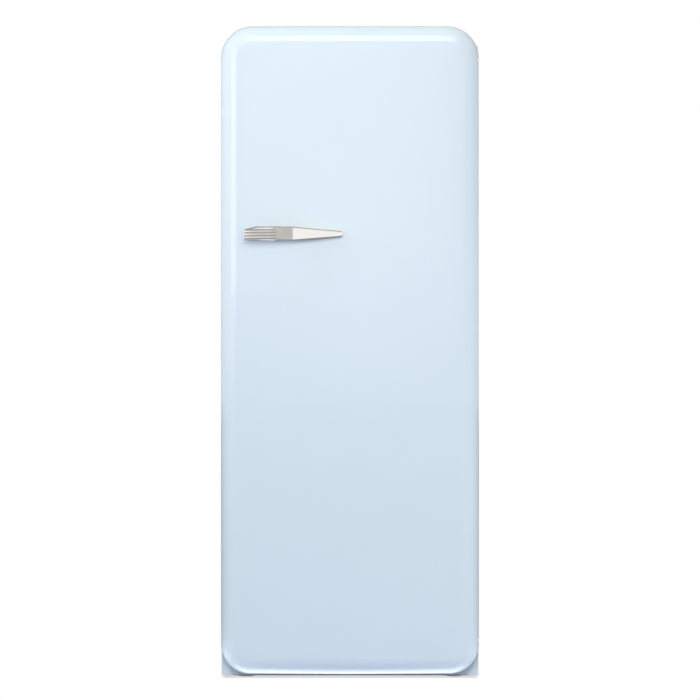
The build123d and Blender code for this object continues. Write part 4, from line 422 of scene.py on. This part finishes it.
FINISHES = {
    "blue_enamel": finish(
        "pale_blue_enamel", (0.645, 0.752, 0.785), (0.655, 0.759, 0.79),
        rough=(0.16, 0.22), scale=2.0, peel=(420, 0.006), plain=ENAMEL,
    ),
    "black_sheet": finish(
        "dark_back_sheet", (0.035, 0.036, 0.040), (0.042, 0.043, 0.046),
        rough=(0.42, 0.6), scale=5.0, peel=(900, 0.015),
    ),
    "zinc_sheet": finish(
        "zinc_plated_sheet", (0.56, 0.58, 0.60), (0.68, 0.70, 0.72),
        rough=(0.28, 0.5), scale=30.0, peel=(160, 0.02), rubbed=(0.82, 0.83, 0.84),
        plain={"Metallic": 0.9},
    ),
    "foam": finish(
        "poured_foam", (0.84, 0.82, 0.75), (0.80, 0.77, 0.69),
        rough=(0.8, 0.95), scale=12.0, peel=(700, 0.4),
    ),
    "white_liner": finish(
        "white_formed_sheet", (0.845, 0.86, 0.866), (0.849, 0.863, 0.868),
        rough=(0.33, 0.335), scale=1.5, peel=(900, 0.0006), plain={"IOR": 1.52},
    ),
    "white_plastic": finish(
        "white_moulding", (0.80, 0.82, 0.83), (0.82, 0.835, 0.84),
        rough=(0.3, 0.45), scale=6.0, peel=(1100, 0.01),
    ),
    "hinge_steel": finish(
        "plated_steel", (0.62, 0.62, 0.62), (0.7, 0.69, 0.67),
        rough=(0.22, 0.4), scale=14.0, drawn=((60.0, 60.0, 1500.0), 0.01), rubbed=(0.85, 0.85, 0.85),
        plain=METAL,
    ),
    "chrome": finish(
        "warm_chrome", (0.83, 0.81, 0.78), (0.86, 0.845, 0.82),
        rough=(0.05, 0.09), scale=9.0, peel=(260, 0.002), plain=METAL,
    ),
    "evaporator": finish(
        "cold_aluminium", (0.74, 0.77, 0.80), (0.82, 0.84, 0.86),
        rough=(0.3, 0.48), scale=8.0, drawn=((12.0, 12.0, 700.0), 0.02), rubbed=(0.9, 0.91, 0.92),
        plain=METAL,
    ),
    "shelf_glass": finish(
        "shelf_glass", (0.93, 0.985, 0.97), (0.94, 0.99, 0.975),
        rough=(0.0, 0.03), scale=5.0, plain={"Transmission Weight": 1.0, "IOR": 1.5},
        clear=(0.95, 0.98, 0.97),
    ),
    "clear_plastic": finish(
        "clear_moulding", (0.95, 0.98, 0.99), (0.93, 0.97, 0.985),
        rough=(0.04, 0.12), scale=8.0, peel=(600, 0.003), plain={"Transmission Weight": 1.0, "IOR": 1.49},
        clear=(0.93, 0.96, 0.97),
    ),
    "frosted_lens": finish(
        "frosted_lens", (0.95, 0.95, 0.92), (0.97, 0.97, 0.95),
        rough=(0.45, 0.6), scale=12.0, peel=(900, 0.02), plain={"Transmission Weight": 0.7, "IOR": 1.49},
        clear=(0.8, 0.8, 0.78),
    ),
    "circuit_board": finish(
        "lamp_board", (0.05, 0.20, 0.10), (0.07, 0.26, 0.13),
        rough=(0.3, 0.5), scale=40.0, peel=(600, 0.02),
    ),
    "black_plastic": finish(
        "black_moulding", (0.02, 0.02, 0.022), (0.035, 0.035, 0.037),
        rough=(0.4, 0.6), scale=9.0, peel=(900, 0.04), rubbed=(0.12, 0.12, 0.12),
    ),
    "gasket": finish(
        "seal_rubber", (0.72, 0.75, 0.77), (0.78, 0.80, 0.81),
        rough=(0.5, 0.7), scale=7.0, peel=(700, 0.03), plain={"Sheen Weight": 0.15},
    ),
    "grommet": finish(
        "black_rubber", (0.02, 0.02, 0.02), (0.04, 0.04, 0.04),
        rough=(0.6, 0.8), scale=20.0, peel=(900, 0.05),
    ),
    "compressor": finish(
        "black_can_paint", (0.012, 0.012, 0.014), (0.025, 0.025, 0.027),
        rough=(0.22, 0.42), scale=9.0, peel=(300, 0.05), rubbed=(0.16, 0.16, 0.16),
        plain={"Coat Weight": 0.3},
    ),
    "copper": finish(
        "copper_tube", (0.80, 0.42, 0.26), (0.62, 0.33, 0.22),
        rough=(0.2, 0.42), scale=25.0, peel=(500, 0.01), plain=METAL,
    ),
    "condenser": finish(
        "black_wire_paint", (0.018, 0.018, 0.02), (0.035, 0.034, 0.034),
        rough=(0.35, 0.55), scale=12.0, peel=(700, 0.03),
    ),
    "nylon": finish(
        "natural_nylon", (0.80, 0.78, 0.72), (0.74, 0.72, 0.66),
        rough=(0.4, 0.55), scale=16.0, peel=(900, 0.02),
    ),
    "roller": finish(
        "grey_roller", (0.06, 0.06, 0.065), (0.09, 0.09, 0.095),
        rough=(0.45, 0.65), scale=14.0, peel=(700, 0.04),
    ),
}
SLOT_OF = {row["node"]: row["material_slot"] for row in frame["record"]["subparts"]}
BODY_OF = {node: body for body, nodes in frame["record"]["behaviour"]["bodies"].items() for node in nodes}


# Making pieces


def add_piece(name, mesh, slot, body, nodes=()):
    """Links a finished mesh as a piece of the object."""
    piece = bpy.data.objects.new(name, mesh)
    bpy.context.scene.collection.objects.link(piece)
    mesh.materials.clear()
    mesh.materials.append(FINISHES[slot])
    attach(piece, body)
    if nodes:
        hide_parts(*nodes)
    return piece


def settled(piece_name, mesh, modifiers):
    """A plain mesh from a mesh and the modifiers that finish it."""
    maker = bpy.data.objects.new(piece_name + "_maker", mesh)
    bpy.context.scene.collection.objects.link(maker)
    for kind, settings in modifiers:
        modifier = maker.modifiers.new(kind.lower(), kind)
        for key, value in settings.items():
            setattr(modifier, key, value)
    graph = bpy.context.evaluated_depsgraph_get()
    result = bpy.data.meshes.new_from_object(maker.evaluated_get(graph))
    bpy.data.objects.remove(maker)
    result.name = piece_name
    return result


def smooth(mesh, angle):
    """Shades a mesh smooth, apart from edges sharper than an angle in degrees."""
    mesh.polygons.foreach_set("use_smooth", [True] * len(mesh.polygons))
    mesh.set_sharp_from_angle(angle=math.radians(angle))
    return mesh


def merged_copy(node):
    """A copy of a solid's mesh with its flat faces whole and its outer edges marked for a bevel."""
    shape = bmesh.new()
    shape.from_mesh(frame["nodes"][node].data)
    bmesh.ops.remove_doubles(shape, verts=shape.verts, dist=MERGED_WITHIN)
    bmesh.ops.dissolve_limit(
        shape,
        angle_limit=math.radians(FLAT_WITHIN),
        verts=shape.verts,
        edges=shape.edges,
        delimit={"NORMAL"},
    )
    weight = shape.edges.layers.float.new("bevel_weight_edge")
    for edge in shape.edges:
        if edge.is_manifold and edge.calc_face_angle_signed() > math.radians(SOFTENED_FROM):
            edge[weight] = 1.0
    mesh = bpy.data.meshes.new(node + "_whole")
    shape.to_mesh(mesh)
    shape.free()
    return mesh


def true_corners(mesh):
    """Turns back each corner normal that a larger neighbour has pulled far off its face."""
    normals = [corner.vector.copy() for corner in mesh.corner_normals]
    for face in mesh.polygons:
        for corner in face.loop_indices:
            if normals[corner].dot(face.normal) < LEAST_COSINE:
                normals[corner] = face.normal.copy()
    mesh.normals_split_custom_set(normals)


def dress(node):
    """Stands a bevelled and smoothly shaded copy in place of a solid."""
    mesh = merged_copy(node)
    edge = EDGE_OF.get(node, USUAL_EDGE)
    if edge:
        bevel = {
            "width": edge * MM,
            "segments": EDGE_SEGMENTS,
            "limit_method": "WEIGHT",
            "miter_outer": "MITER_ARC",
        }
        mesh = settled(node, mesh, [("BEVEL", bevel)])
    smooth(mesh, SOFTENED_FROM)
    mesh = settled(node, mesh, [("WEIGHTED_NORMAL", {"keep_sharp": True, "weight": AREA_WEIGHT})])
    true_corners(mesh)
    return add_piece(node + "_finished", mesh, SLOT_OF[node], BODY_OF[node], [node])


def sheet(thickness):
    """A modifier that gives a pressing its sheet, inwards."""
    inwards = -1.0
    return "SOLIDIFY", {
        "thickness": thickness * MM,
        "offset": inwards,
        "use_even_offset": True,
        "use_quality_normals": True,
    }


def sheet_bend():
    """How far in and how far back each step of a sheet's bend lies."""
    for step in range(BEND_STEPS + 1):
        angle = math.radians(90 - 90 * step / BEND_STEPS)
        yield SHEET_BEND * (1 - math.cos(angle)), SHEET_BEND * (1 - math.sin(angle))


# The door's skin


def ring_points(half, low, high, top, bottom, inset, counts):
    """Points round a rectangle with rounded corners, from its lower left and up its right side."""
    across, upward, corner = counts
    right, left = half - inset, inset - half
    points = []

    def run(start, end, steps):
        for step in range(steps):
            share = step / steps
            points.append((start[0] + (end[0] - start[0]) * share, start[1] + (end[1] - start[1]) * share))

    def turn(centre, radius, first):
        for step in range(corner):
            angle = math.radians(first + 90 * step / corner)
            points.append((centre[0] + radius * math.cos(angle), centre[1] + radius * math.sin(angle)))

    run((bottom - half, low + inset), (half - bottom, low + inset), across)
    turn((half - bottom, low + bottom), bottom - inset, 270)
    run((right, low + bottom), (right, high - top), upward)
    turn((half - top, high - top), top - inset, 0)
    run((half - top, high - inset), (top - half, high - inset), across)
    turn((top - half, high - top), top - inset, 90)
    run((left, high - top), (left, low + bottom), upward)
    turn((bottom - half, low + bottom), bottom - inset, 180)
    return points


def join_rings(shape, first, second, closed=True):
    """Quads between two rings of the same length."""
    count = len(first)
    for index in range(count if closed else count - 1):
        after = (index + 1) % count
        shape.faces.new((first[index], first[after], second[after], second[index]))


def door_skin_mesh():
    """The crowned pressing with its rolled front edge and the lip round its back."""
    low, high = (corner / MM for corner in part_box("door_skin"))
    half, bottom, top = high.x, low.z, high.z
    middle, half_height = (bottom + top) / 2, (top - bottom) / 2
    across_radius = (half**2 + DOOR_CROWN_ACROSS**2) / (2 * DOOR_CROWN_ACROSS)
    down_radius = (half_height**2 + DOOR_CROWN_DOWN**2) / (2 * DOOR_CROWN_DOWN)

    def crown(x, z):
        side = across_radius - math.sqrt(across_radius**2 - x**2)
        return low.y + side + down_radius - math.sqrt(down_radius**2 - (z - middle) ** 2)

    counts = (DOOR_STEPS_ACROSS, DOOR_STEPS_UPWARD, DOOR_CORNER_STEPS)
    across, upward, corner = counts
    shape = bmesh.new()

    def ring(inset, depth=None, y=None):
        points = []
        for x, z in ring_points(half, bottom, top, TOP_CORNER, DOOR_BOTTOM_CORNER, inset, counts):
            place = crown(x, z) + depth if y is None else y
            points.append(shape.verts.new(Vector((x, place, z)) * MM))
        return points

    rings = [ring(DOOR_RETURN, y=high.y)]
    for inset, setback in sheet_bend():
        rings.append(ring(inset, y=high.y - setback))
    for step in range(DOOR_EDGE_STEPS + 1):
        angle = math.radians(90 * step / DOOR_EDGE_STEPS)
        rings.append(ring(DOOR_EDGE * (1 - math.cos(angle)), DOOR_EDGE * (1 - math.sin(angle))))
    rings.append(ring((DOOR_EDGE + DOOR_BOTTOM_CORNER) / 2, 0.0))
    for first, second in zip(rings, rings[1:]):
        join_rings(shape, first, second)

    corners = [
        (DOOR_BOTTOM_CORNER - half, bottom + DOOR_BOTTOM_CORNER),
        (half - DOOR_BOTTOM_CORNER, bottom + DOOR_BOTTOM_CORNER),
        (half - TOP_CORNER, top - TOP_CORNER),
        (TOP_CORNER - half, top - TOP_CORNER),
    ]
    grid = []
    for row in range(upward + 1):
        rise = row / upward
        line = []
        for column in range(across + 1):
            share = column / across
            lower = [a + (b - a) * share for a, b in zip(corners[0], corners[1])]
            upper = [a + (b - a) * share for a, b in zip(corners[3], corners[2])]
            x, z = (a + (b - a) * rise for a, b in zip(lower, upper))
            line.append(shape.verts.new(Vector((x, crown(x, z), z)) * MM))
        grid.append(line)
    for row in range(upward):
        for column in range(across):
            shape.faces.new(
                (grid[row][column], grid[row][column + 1], grid[row + 1][column + 1], grid[row + 1][column])
            )
    edge = rings[-1]
    inner = []
    inner += [grid[0][column] for column in range(across)] + [grid[0][across]] * corner
    inner += [grid[row][across] for row in range(upward)] + [grid[upward][across]] * corner
    inner += [grid[upward][across - column] for column in range(across)] + [grid[upward][0]] * corner
    inner += [grid[upward - row][0] for row in range(upward)] + [grid[0][0]] * corner
    for index, start in enumerate(edge):
        after = (index + 1) % len(edge)
        loop = [start, edge[after], inner[after], inner[index]]
        if inner[after] is inner[index]:
            loop.pop()
        shape.faces.new(loop)
    bmesh.ops.recalc_face_normals(shape, faces=shape.faces)
    mesh = bpy.data.meshes.new("door_skin_sheet")
    shape.to_mesh(mesh)
    shape.free()
    return mesh


def prism_mesh(name, plan, low, high):
    """A closed upright block over a plan, in millimetres."""
    shape = bmesh.new()
    floor = [shape.verts.new(Vector((x, y, low)) * MM) for x, y in plan]
    roof = [shape.verts.new(Vector((x, y, high)) * MM) for x, y in plan]
    shape.faces.new(list(reversed(floor)))
    shape.faces.new(roof)
    join_rings(shape, floor, roof)
    bmesh.ops.recalc_face_normals(shape, faces=shape.faces)
    mesh = bpy.data.meshes.new(name)
    shape.to_mesh(mesh)
    shape.free()
    return mesh


def hinge_room_meshes():
    """The slots and reliefs that the hinges need in the door's edge."""
    hinge = next(joint for joint in frame["joints"] if joint["name"] == "door_hinge")
    axis_x, axis_y = (value / MM for value in hinge["pos_m"][:2])
    low, high = (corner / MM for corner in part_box("hinge_brackets"))
    turn = math.radians(HINGE_OPEN)
    half, reach = HINGE_SLOT_HALF, HINGE_SLOT_REACH
    slot = []
    for step in range(SLOT_STEPS + 1):
        angle = math.radians(180 + (180 - HINGE_OPEN) * step / SLOT_STEPS)
        slot.append((axis_x + half * math.cos(angle), axis_y + half * math.sin(angle)))
    near_x, near_y = slot[-1]
    slot.append((near_x + reach * math.sin(turn), near_y + reach * math.cos(turn)))
    slot += [(axis_x + reach, axis_y + reach), (axis_x - half, axis_y + reach)]
    left = low.x - HINGE_RELIEF_SIDE
    right = left + HINGE_RELIEF_WIDE
    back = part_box("door_skin")[1].y / MM
    front, behind = back - HINGE_RELIEF, back + PAST_THE_SHEET
    relief = [(left, front), (right, front), (right, behind), (left, behind)]
    rooms = []
    for level in (low.z + HINGE_LEAF_TALL / 2, high.z - HINGE_LEAF_TALL / 2):
        for name, plan, tall in (("slot", slot, HINGE_SLOT_TALL), ("relief", relief, HINGE_RELIEF_TALL)):
            rooms.append(prism_mesh(name, plan, level - tall / 2, level + tall / 2))
    return rooms


def make_door_skin():
    """The door's pressing, cut for its hinges."""
    mesh = settled("door_skin", door_skin_mesh(), [sheet(DOOR_SHEET)])
    cutters = []
    for number, room in enumerate(hinge_room_meshes()):
        cutter = bpy.data.objects.new(f"hinge_room_{number}", room)
        bpy.context.scene.collection.objects.link(cutter)
        cutters.append(cutter)
    exact = {"operation": "DIFFERENCE", "solver": "EXACT"}
    mesh = settled("door_skin", mesh, [("BOOLEAN", {"object": cutter, **exact}) for cutter in cutters])
    for cutter in cutters:
        bpy.data.objects.remove(cutter)
    smooth(mesh, PRESSED_SMOOTH_TO)
    add_piece("door_skin_pressing", mesh, "blue_enamel", "door", ["door_skin"])


# The cabinet's shell


def cabinet_shell_mesh():
    """Both sides and the top in one sheet, turned in round the front."""
    low, high = (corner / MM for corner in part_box("cabinet_shell"))
    half, bottom, top = high.x, low.z, high.z
    middle, corner_level = (bottom + top) / 2, top - TOP_CORNER
    shape = bmesh.new()

    def line(inset, y):
        radius = TOP_CORNER - inset
        points = [(inset - half, bottom), (inset - half, middle)]
        for first, centre in ((180, TOP_CORNER - half), (90, half - TOP_CORNER)):
            for step in range(CABINET_CORNER_STEPS + 1):
                angle = math.radians(first - 90 * step / CABINET_CORNER_STEPS)
                points.append((centre + radius * math.cos(angle), corner_level + radius * math.sin(angle)))
        points += [(half - inset, middle), (half - inset, bottom)]
        return [shape.verts.new(Vector((x, y, z)) * MM) for x, z in points]

    lines = [line(CABINET_FLANGE, low.y)]
    for inset, setback in sheet_bend():
        lines.append(line(inset, low.y + setback))
    lines += [line(0, y) for y in (low.y + LINE_BEHIND_FRONT, (low.y + high.y) / 2, high.y)]
    for first, second in zip(lines, lines[1:]):
        join_rings(shape, first, second, closed=False)
    bmesh.ops.recalc_face_normals(shape, faces=shape.faces)
    upward = sum(face.calc_area() * face.normal.z for face in shape.faces)
    if upward < 0:
        bmesh.ops.reverse_faces(shape, faces=shape.faces)
    mesh = bpy.data.meshes.new("cabinet_sheet")
    shape.to_mesh(mesh)
    shape.free()
    return mesh


def make_cabinet_shell():
    """The cabinet's sheet, with its thickness."""
    mesh = settled("cabinet_shell", cabinet_shell_mesh(), [sheet(CABINET_SHEET)])
    smooth(mesh, PRESSED_SMOOTH_TO)
    add_piece("cabinet_shell_sheet", mesh, "blue_enamel", "cabinet", ["cabinet_shell"])


# Repeats made with geometry nodes


def new_tree(name, inputs):
    """An empty geometry tree with named inputs, its nodes for them and the way to its output."""
    tree = bpy.data.node_groups.new(name, "GeometryNodeTree")
    tree.interface.new_socket("Geometry", in_out="OUTPUT", socket_type="NodeSocketGeometry")
    for socket_name, kind in inputs:
        tree.interface.new_socket(socket_name, in_out="INPUT", socket_type=kind)
    return tree, tree.nodes.new("NodeGroupInput"), tree.nodes.new("NodeGroupOutput")


def close_tree(tree, geometry, start, end):
    """Ends a tree in real geometry with its material."""
    real = tree.nodes.new("GeometryNodeRealizeInstances")
    paint = tree.nodes.new("GeometryNodeSetMaterial")
    tree.links.new(geometry, real.inputs[0])
    tree.links.new(real.outputs[0], paint.inputs["Geometry"])
    tree.links.new(start.outputs["Material"], paint.inputs["Material"])
    tree.links.new(paint.outputs[0], end.inputs[0])


def grown(name, tree, values):
    """The plain mesh that a tree makes from its values."""
    maker = bpy.data.objects.new(name + "_maker", bpy.data.meshes.new(name + "_seed"))
    bpy.context.scene.collection.objects.link(maker)
    modifier = maker.modifiers.new("grow", "NODES")
    modifier.node_group = tree
    for item in tree.interface.items_tree:
        if item.in_out == "INPUT":
            modifier[item.identifier] = values[item.name]
    graph = bpy.context.evaluated_depsgraph_get()
    mesh = bpy.data.meshes.new_from_object(maker.evaluated_get(graph))
    maker.modifiers.remove(modifier)
    bpy.data.objects.remove(maker)
    mesh.name = name
    return mesh


def make_wire_tree():
    """A row of straight upright wires."""
    tree, start, end = new_tree(
        "upright_wires",
        [
            ("Count", "NodeSocketInt"),
            ("First Foot", "NodeSocketVector"),
            ("Step", "NodeSocketVector"),
            ("Rise", "NodeSocketVector"),
            ("Radius", "NodeSocketFloat"),
            ("Material", "NodeSocketMaterial"),
        ],
    )
    row = tree.nodes.new("GeometryNodeMeshLine")
    wire = tree.nodes.new("GeometryNodeCurvePrimitiveLine")
    section = tree.nodes.new("GeometryNodeCurvePrimitiveCircle")
    section.inputs["Resolution"].default_value = WIRE_SIDES
    skin = tree.nodes.new("GeometryNodeCurveToMesh")
    skin.inputs["Fill Caps"].default_value = True
    place = tree.nodes.new("GeometryNodeInstanceOnPoints")
    link = tree.links.new
    link(start.outputs["Count"], row.inputs["Count"])
    link(start.outputs["First Foot"], row.inputs["Start Location"])
    link(start.outputs["Step"], row.inputs["Offset"])
    link(start.outputs["Rise"], wire.inputs["End"])
    link(start.outputs["Radius"], section.inputs["Radius"])
    link(wire.outputs[0], skin.inputs["Curve"])
    link(section.outputs[0], skin.inputs["Profile Curve"])
    link(row.outputs[0], place.inputs["Points"])
    link(skin.outputs[0], place.inputs["Instance"])
    close_tree(tree, place.outputs[0], start, end)
    return tree


def make_screw_tree():
    """A row of domed screw heads with crossed recesses, lying on a face that looks to the back."""
    tree, start, end = new_tree(
        "screw_row",
        [
            ("Count", "NodeSocketInt"),
            ("First", "NodeSocketVector"),
            ("Step", "NodeSocketVector"),
            ("Turn", "NodeSocketVector"),
            ("Radius", "NodeSocketFloat"),
            ("Height", "NodeSocketFloat"),
            ("Slot Size", "NodeSocketVector"),
            ("Material", "NodeSocketMaterial"),
        ],
    )
    link = tree.links.new
    row = tree.nodes.new("GeometryNodeMeshLine")
    link(start.outputs["Count"], row.inputs["Count"])
    link(start.outputs["First"], row.inputs["Start Location"])
    link(start.outputs["Step"], row.inputs["Offset"])
    head = tree.nodes.new("GeometryNodeMeshCone")
    head.inputs["Vertices"].default_value = SCREW_SIDES
    head.inputs["Side Segments"].default_value = 1
    narrow = tree.nodes.new("ShaderNodeMath")
    narrow.operation = "MULTIPLY"
    narrow.inputs[1].default_value = SCREW_TAPER
    link(start.outputs["Radius"], narrow.inputs[0])
    link(start.outputs["Radius"], head.inputs["Radius Bottom"])
    link(narrow.outputs[0], head.inputs["Radius Top"])
    link(start.outputs["Height"], head.inputs["Depth"])
    cut = tree.nodes.new("GeometryNodeMeshBoolean")
    cut.operation = "DIFFERENCE"
    link(head.outputs["Mesh"], cut.inputs[0])
    lift = tree.nodes.new("ShaderNodeCombineXYZ")
    link(start.outputs["Height"], lift.inputs["Z"])
    for quarter in (0.0, math.pi / 2):
        bar = tree.nodes.new("GeometryNodeMeshCube")
        link(start.outputs["Slot Size"], bar.inputs["Size"])
        moved = tree.nodes.new("GeometryNodeTransform")
        moved.inputs["Rotation"].default_value = (0, 0, quarter)
        link(bar.outputs[0], moved.inputs["Geometry"])
        link(lift.outputs[0], moved.inputs["Translation"])
        link(moved.outputs[0], cut.inputs[1])
    place = tree.nodes.new("GeometryNodeInstanceOnPoints")
    link(row.outputs[0], place.inputs["Points"])
    link(cut.outputs[0], place.inputs["Instance"])
    link(start.outputs["Turn"], place.inputs["Rotation"])
    close_tree(tree, place.outputs[0], start, end)
    return tree


def make_condenser_wires():
    """The upright wires that stiffen the condenser's tube."""
    low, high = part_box("condenser_wires")
    radius = (high.y - low.y) / 2
    step = (high.x - low.x - 2 * radius) / (CONDENSER_WIRES - 1)
    values = {
        "Count": CONDENSER_WIRES,
        "First Foot": (low.x + radius, (low.y + high.y) / 2, low.z),
        "Step": (step, 0, 0),
        "Rise": (0, 0, high.z - low.z),
        "Radius": radius,
        "Material": FINISHES["condenser"],
    }
    mesh = smooth(grown("condenser_wire_row", make_wire_tree(), values), WIRE_SMOOTH_TO)
    add_piece("condenser_wire_row", mesh, "condenser", "cabinet", ["condenser_wires"])


def make_back_screws():
    """Screws round the edge of the back panel."""
    tree = make_screw_tree()
    low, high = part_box("back_panel")
    margin = SCREW_MARGIN * MM
    start_x, start_z = low.x + SCREWS_FROM_SIDE * MM, low.z + SCREWS_FROM_BOTTOM * MM
    step_x = (high.x - SCREWS_FROM_SIDE * MM - start_x) / (SCREWS_ACROSS - 1)
    step_z = (high.z - SCREWS_FROM_TOP * MM - start_z) / (SCREWS_UPWARD - 1)
    rows = [
        ("top", SCREWS_ACROSS, (start_x, high.y, high.z - margin), (step_x, 0, 0)),
        ("left", SCREWS_UPWARD, (low.x + margin, high.y, start_z), (0, 0, step_z)),
        ("right", SCREWS_UPWARD, (high.x - margin, high.y, start_z), (0, 0, step_z)),
    ]
    for name, count, first, step in rows:
        values = {
            "Count": count,
            "First": first,
            "Step": step,
            "Turn": (-math.pi / 2, 0, 0),
            "Radius": SCREW_RADIUS * MM,
            "Height": SCREW_HEIGHT * MM,
            "Slot Size": tuple(side * MM for side in SCREW_SLOT),
            "Material": FINISHES["hinge_steel"],
        }
        mesh = smooth(grown(f"back_screws_{name}", tree, values), SCREW_SMOOTH_TO)
        add_piece(f"back_screws_{name}", mesh, "hinge_steel", "cabinet")


# Setting up


def dress_the_rest():
    """Bevels and smooths every solid that has no piece of its own."""
    done = {"door_skin", "cabinet_shell", "condenser_wires"}
    for node in frame["nodes"]:
        if node not in done:
            dress(node)


def make_floor():
    """A floor that glows white to the eye, with a painted contact shadow close to the object, and is greyer to the
    object that stands on it.
    """
    mesh = bpy.data.meshes.new("floor")
    corners = [(x * FLOOR_REACH, y * FLOOR_REACH, 0) for x, y in ((-1, -1), (1, -1), (1, 1), (-1, 1))]
    mesh.from_pydata(corners, [], [(0, 1, 2, 3)])
    floor = bpy.data.objects.new("floor", mesh)
    bpy.context.scene.collection.objects.link(floor)
    material = bpy.data.materials.new("pale_floor")
    material.use_nodes = True
    tree = material.node_tree
    shader = tree.nodes["Principled BSDF"]
    shader.inputs["Base Color"].default_value = opaque(FLOOR_TINT)
    shader.inputs["Roughness"].default_value = FLOOR_ROUGHNESS
    path = tree.nodes.new("ShaderNodeLightPath")
    # Painted contact shadow: ambient occlusion darkens the floor's white glow, as the camera sees it, where the
    # object stands close above it
    painted_shadow_occlusion = tree.nodes.new("ShaderNodeAmbientOcclusion")
    painted_shadow_occlusion.inputs["Distance"].default_value = PAINTED_SHADOW_REACH
    seen = remap(tree, painted_shadow_occlusion.outputs["AO"], 0.0, PAINTED_SHADOW_CLEAR, PAINTED_SHADOW_LEVEL, 1.0)
    level = tree.nodes.new("ShaderNodeMix")
    tree.links.new(path.outputs["Is Camera Ray"], level.inputs["Factor"])
    level.inputs[FIRST_NUMBER].default_value = MIRRORED_FLOOR
    tree.links.new(seen, level.inputs[SECOND_NUMBER])
    white = tree.nodes.new("ShaderNodeEmission")
    tree.links.new(level.outputs[MIXED_NUMBER], white.inputs["Strength"])
    mix = tree.nodes.new("ShaderNodeMixShader")
    either = tree.nodes.new("ShaderNodeMath")
    either.operation = "MAXIMUM"
    tree.links.new(path.outputs["Is Camera Ray"], either.inputs[0])
    tree.links.new(path.outputs["Is Glossy Ray"], either.inputs[1])
    tree.links.new(either.outputs[0], mix.inputs["Fac"])
    tree.links.new(shader.outputs[0], mix.inputs[1])
    tree.links.new(white.outputs[0], mix.inputs[2])
    tree.links.new(mix.outputs[0], tree.nodes["Material Output"].inputs["Surface"])
    mesh.materials.append(material)


def add_soft_box(name, place, target, size, power, colour, mirrored, lighting):
    """A soft box that faces a point, as a light, as something to be mirrored, or as both."""
    light = bpy.data.lights.new(name, "AREA")
    light.shape = "RECTANGLE"
    light.size, light.size_y = size
    light.energy = power
    light.color = colour
    lamp = bpy.data.objects.new(name, light)
    lamp.location = place
    lamp.rotation_euler = (Vector(target) - Vector(place)).to_track_quat("-Z", "Y").to_euler()
    lamp.visible_camera = False
    lamp.visible_glossy = mirrored
    lamp.visible_diffuse = lighting
    bpy.context.scene.collection.objects.link(lamp)


def ramp(tree, value, stops):
    """Grey levels along a value, by position."""
    node = tree.nodes.new("ShaderNodeValToRGB")
    points = node.color_ramp.elements
    while len(points) < len(stops):
        points.new(0.5)
    for point, (place, level) in zip(points, stops):
        point.position = place
        point.color = (level, level, level, 1)
    tree.links.new(value, node.inputs["Fac"])
    return node.outputs["Color"]


def make_light():
    """A white studio, brighter below than above and uneven from left to right, with its soft boxes."""
    scene = bpy.context.scene
    world = bpy.data.worlds.new("white_studio")
    scene.world = world
    world.use_nodes = True
    tree = world.node_tree
    way = tree.nodes.new("ShaderNodeSeparateXYZ")
    tree.links.new(tree.nodes.new("ShaderNodeTexCoord").outputs["Generated"], way.inputs[0])
    height = ramp(tree, remap(tree, way.outputs["Z"], -1, 1, 0, 1), STUDIO_BY_HEIGHT)
    side = ramp(tree, remap(tree, way.outputs["X"], -1, 1, 0, 1), STUDIO_BY_SIDE)
    both = tree.nodes.new("ShaderNodeMix")
    both.data_type = "RGBA"
    both.blend_type = "MULTIPLY"
    both.inputs["Factor"].default_value = 1.0
    tree.links.new(height, both.inputs[FIRST_COLOUR])
    tree.links.new(side, both.inputs[SECOND_COLOUR])
    back = tree.nodes["Background"]
    tree.links.new(both.outputs[MIXED_COLOUR], back.inputs["Color"])
    path = tree.nodes.new("ShaderNodeLightPath")
    level = remap(tree, path.outputs["Is Glossy Ray"], 0, 1, STUDIO_LEVEL, MIRRORED_LEVEL)
    tree.links.new(level, back.inputs["Strength"])
    seen = tree.nodes.new("ShaderNodeBackground")
    seen.inputs["Color"].default_value = opaque(WHITE)
    mix = tree.nodes.new("ShaderNodeMixShader")
    tree.links.new(path.outputs["Is Camera Ray"], mix.inputs["Fac"])
    tree.links.new(back.outputs[0], mix.inputs[1])
    tree.links.new(seen.outputs[0], mix.inputs[2])
    tree.links.new(mix.outputs[0], tree.nodes["World Output"].inputs["Surface"])
    for name, (place, target, size, power, colour, role) in SOFT_BOXES.items():
        add_soft_box(name, place, target, size, power, colour, **role)
    scene.view_settings.view_transform = "Standard"


def make_camera():
    """A long lens square to the front, framed as the photograph is."""
    data = bpy.data.cameras.new("front_camera")
    data.sensor_width = CAMERA_SENSOR
    door_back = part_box("door_skin")[1].y
    data.lens = CAMERA_SENSOR * (CAMERA_DISTANCE + door_back) / (IMAGE_SIDE * MM_PER_PIXEL * MM)
    data.clip_end = CAMERA_SIGHT
    camera = bpy.data.objects.new("front_camera", data)
    camera.location = (0, -CAMERA_DISTANCE, CAMERA_HEIGHT)
    camera.rotation_euler = (math.pi / 2, 0, 0)
    bpy.context.scene.collection.objects.link(camera)
    bpy.context.scene.camera = camera


make_camera()
make_door_skin()
make_cabinet_shell()
dress_the_rest()
make_condenser_wires()
make_back_screws()
make_floor()
make_light()
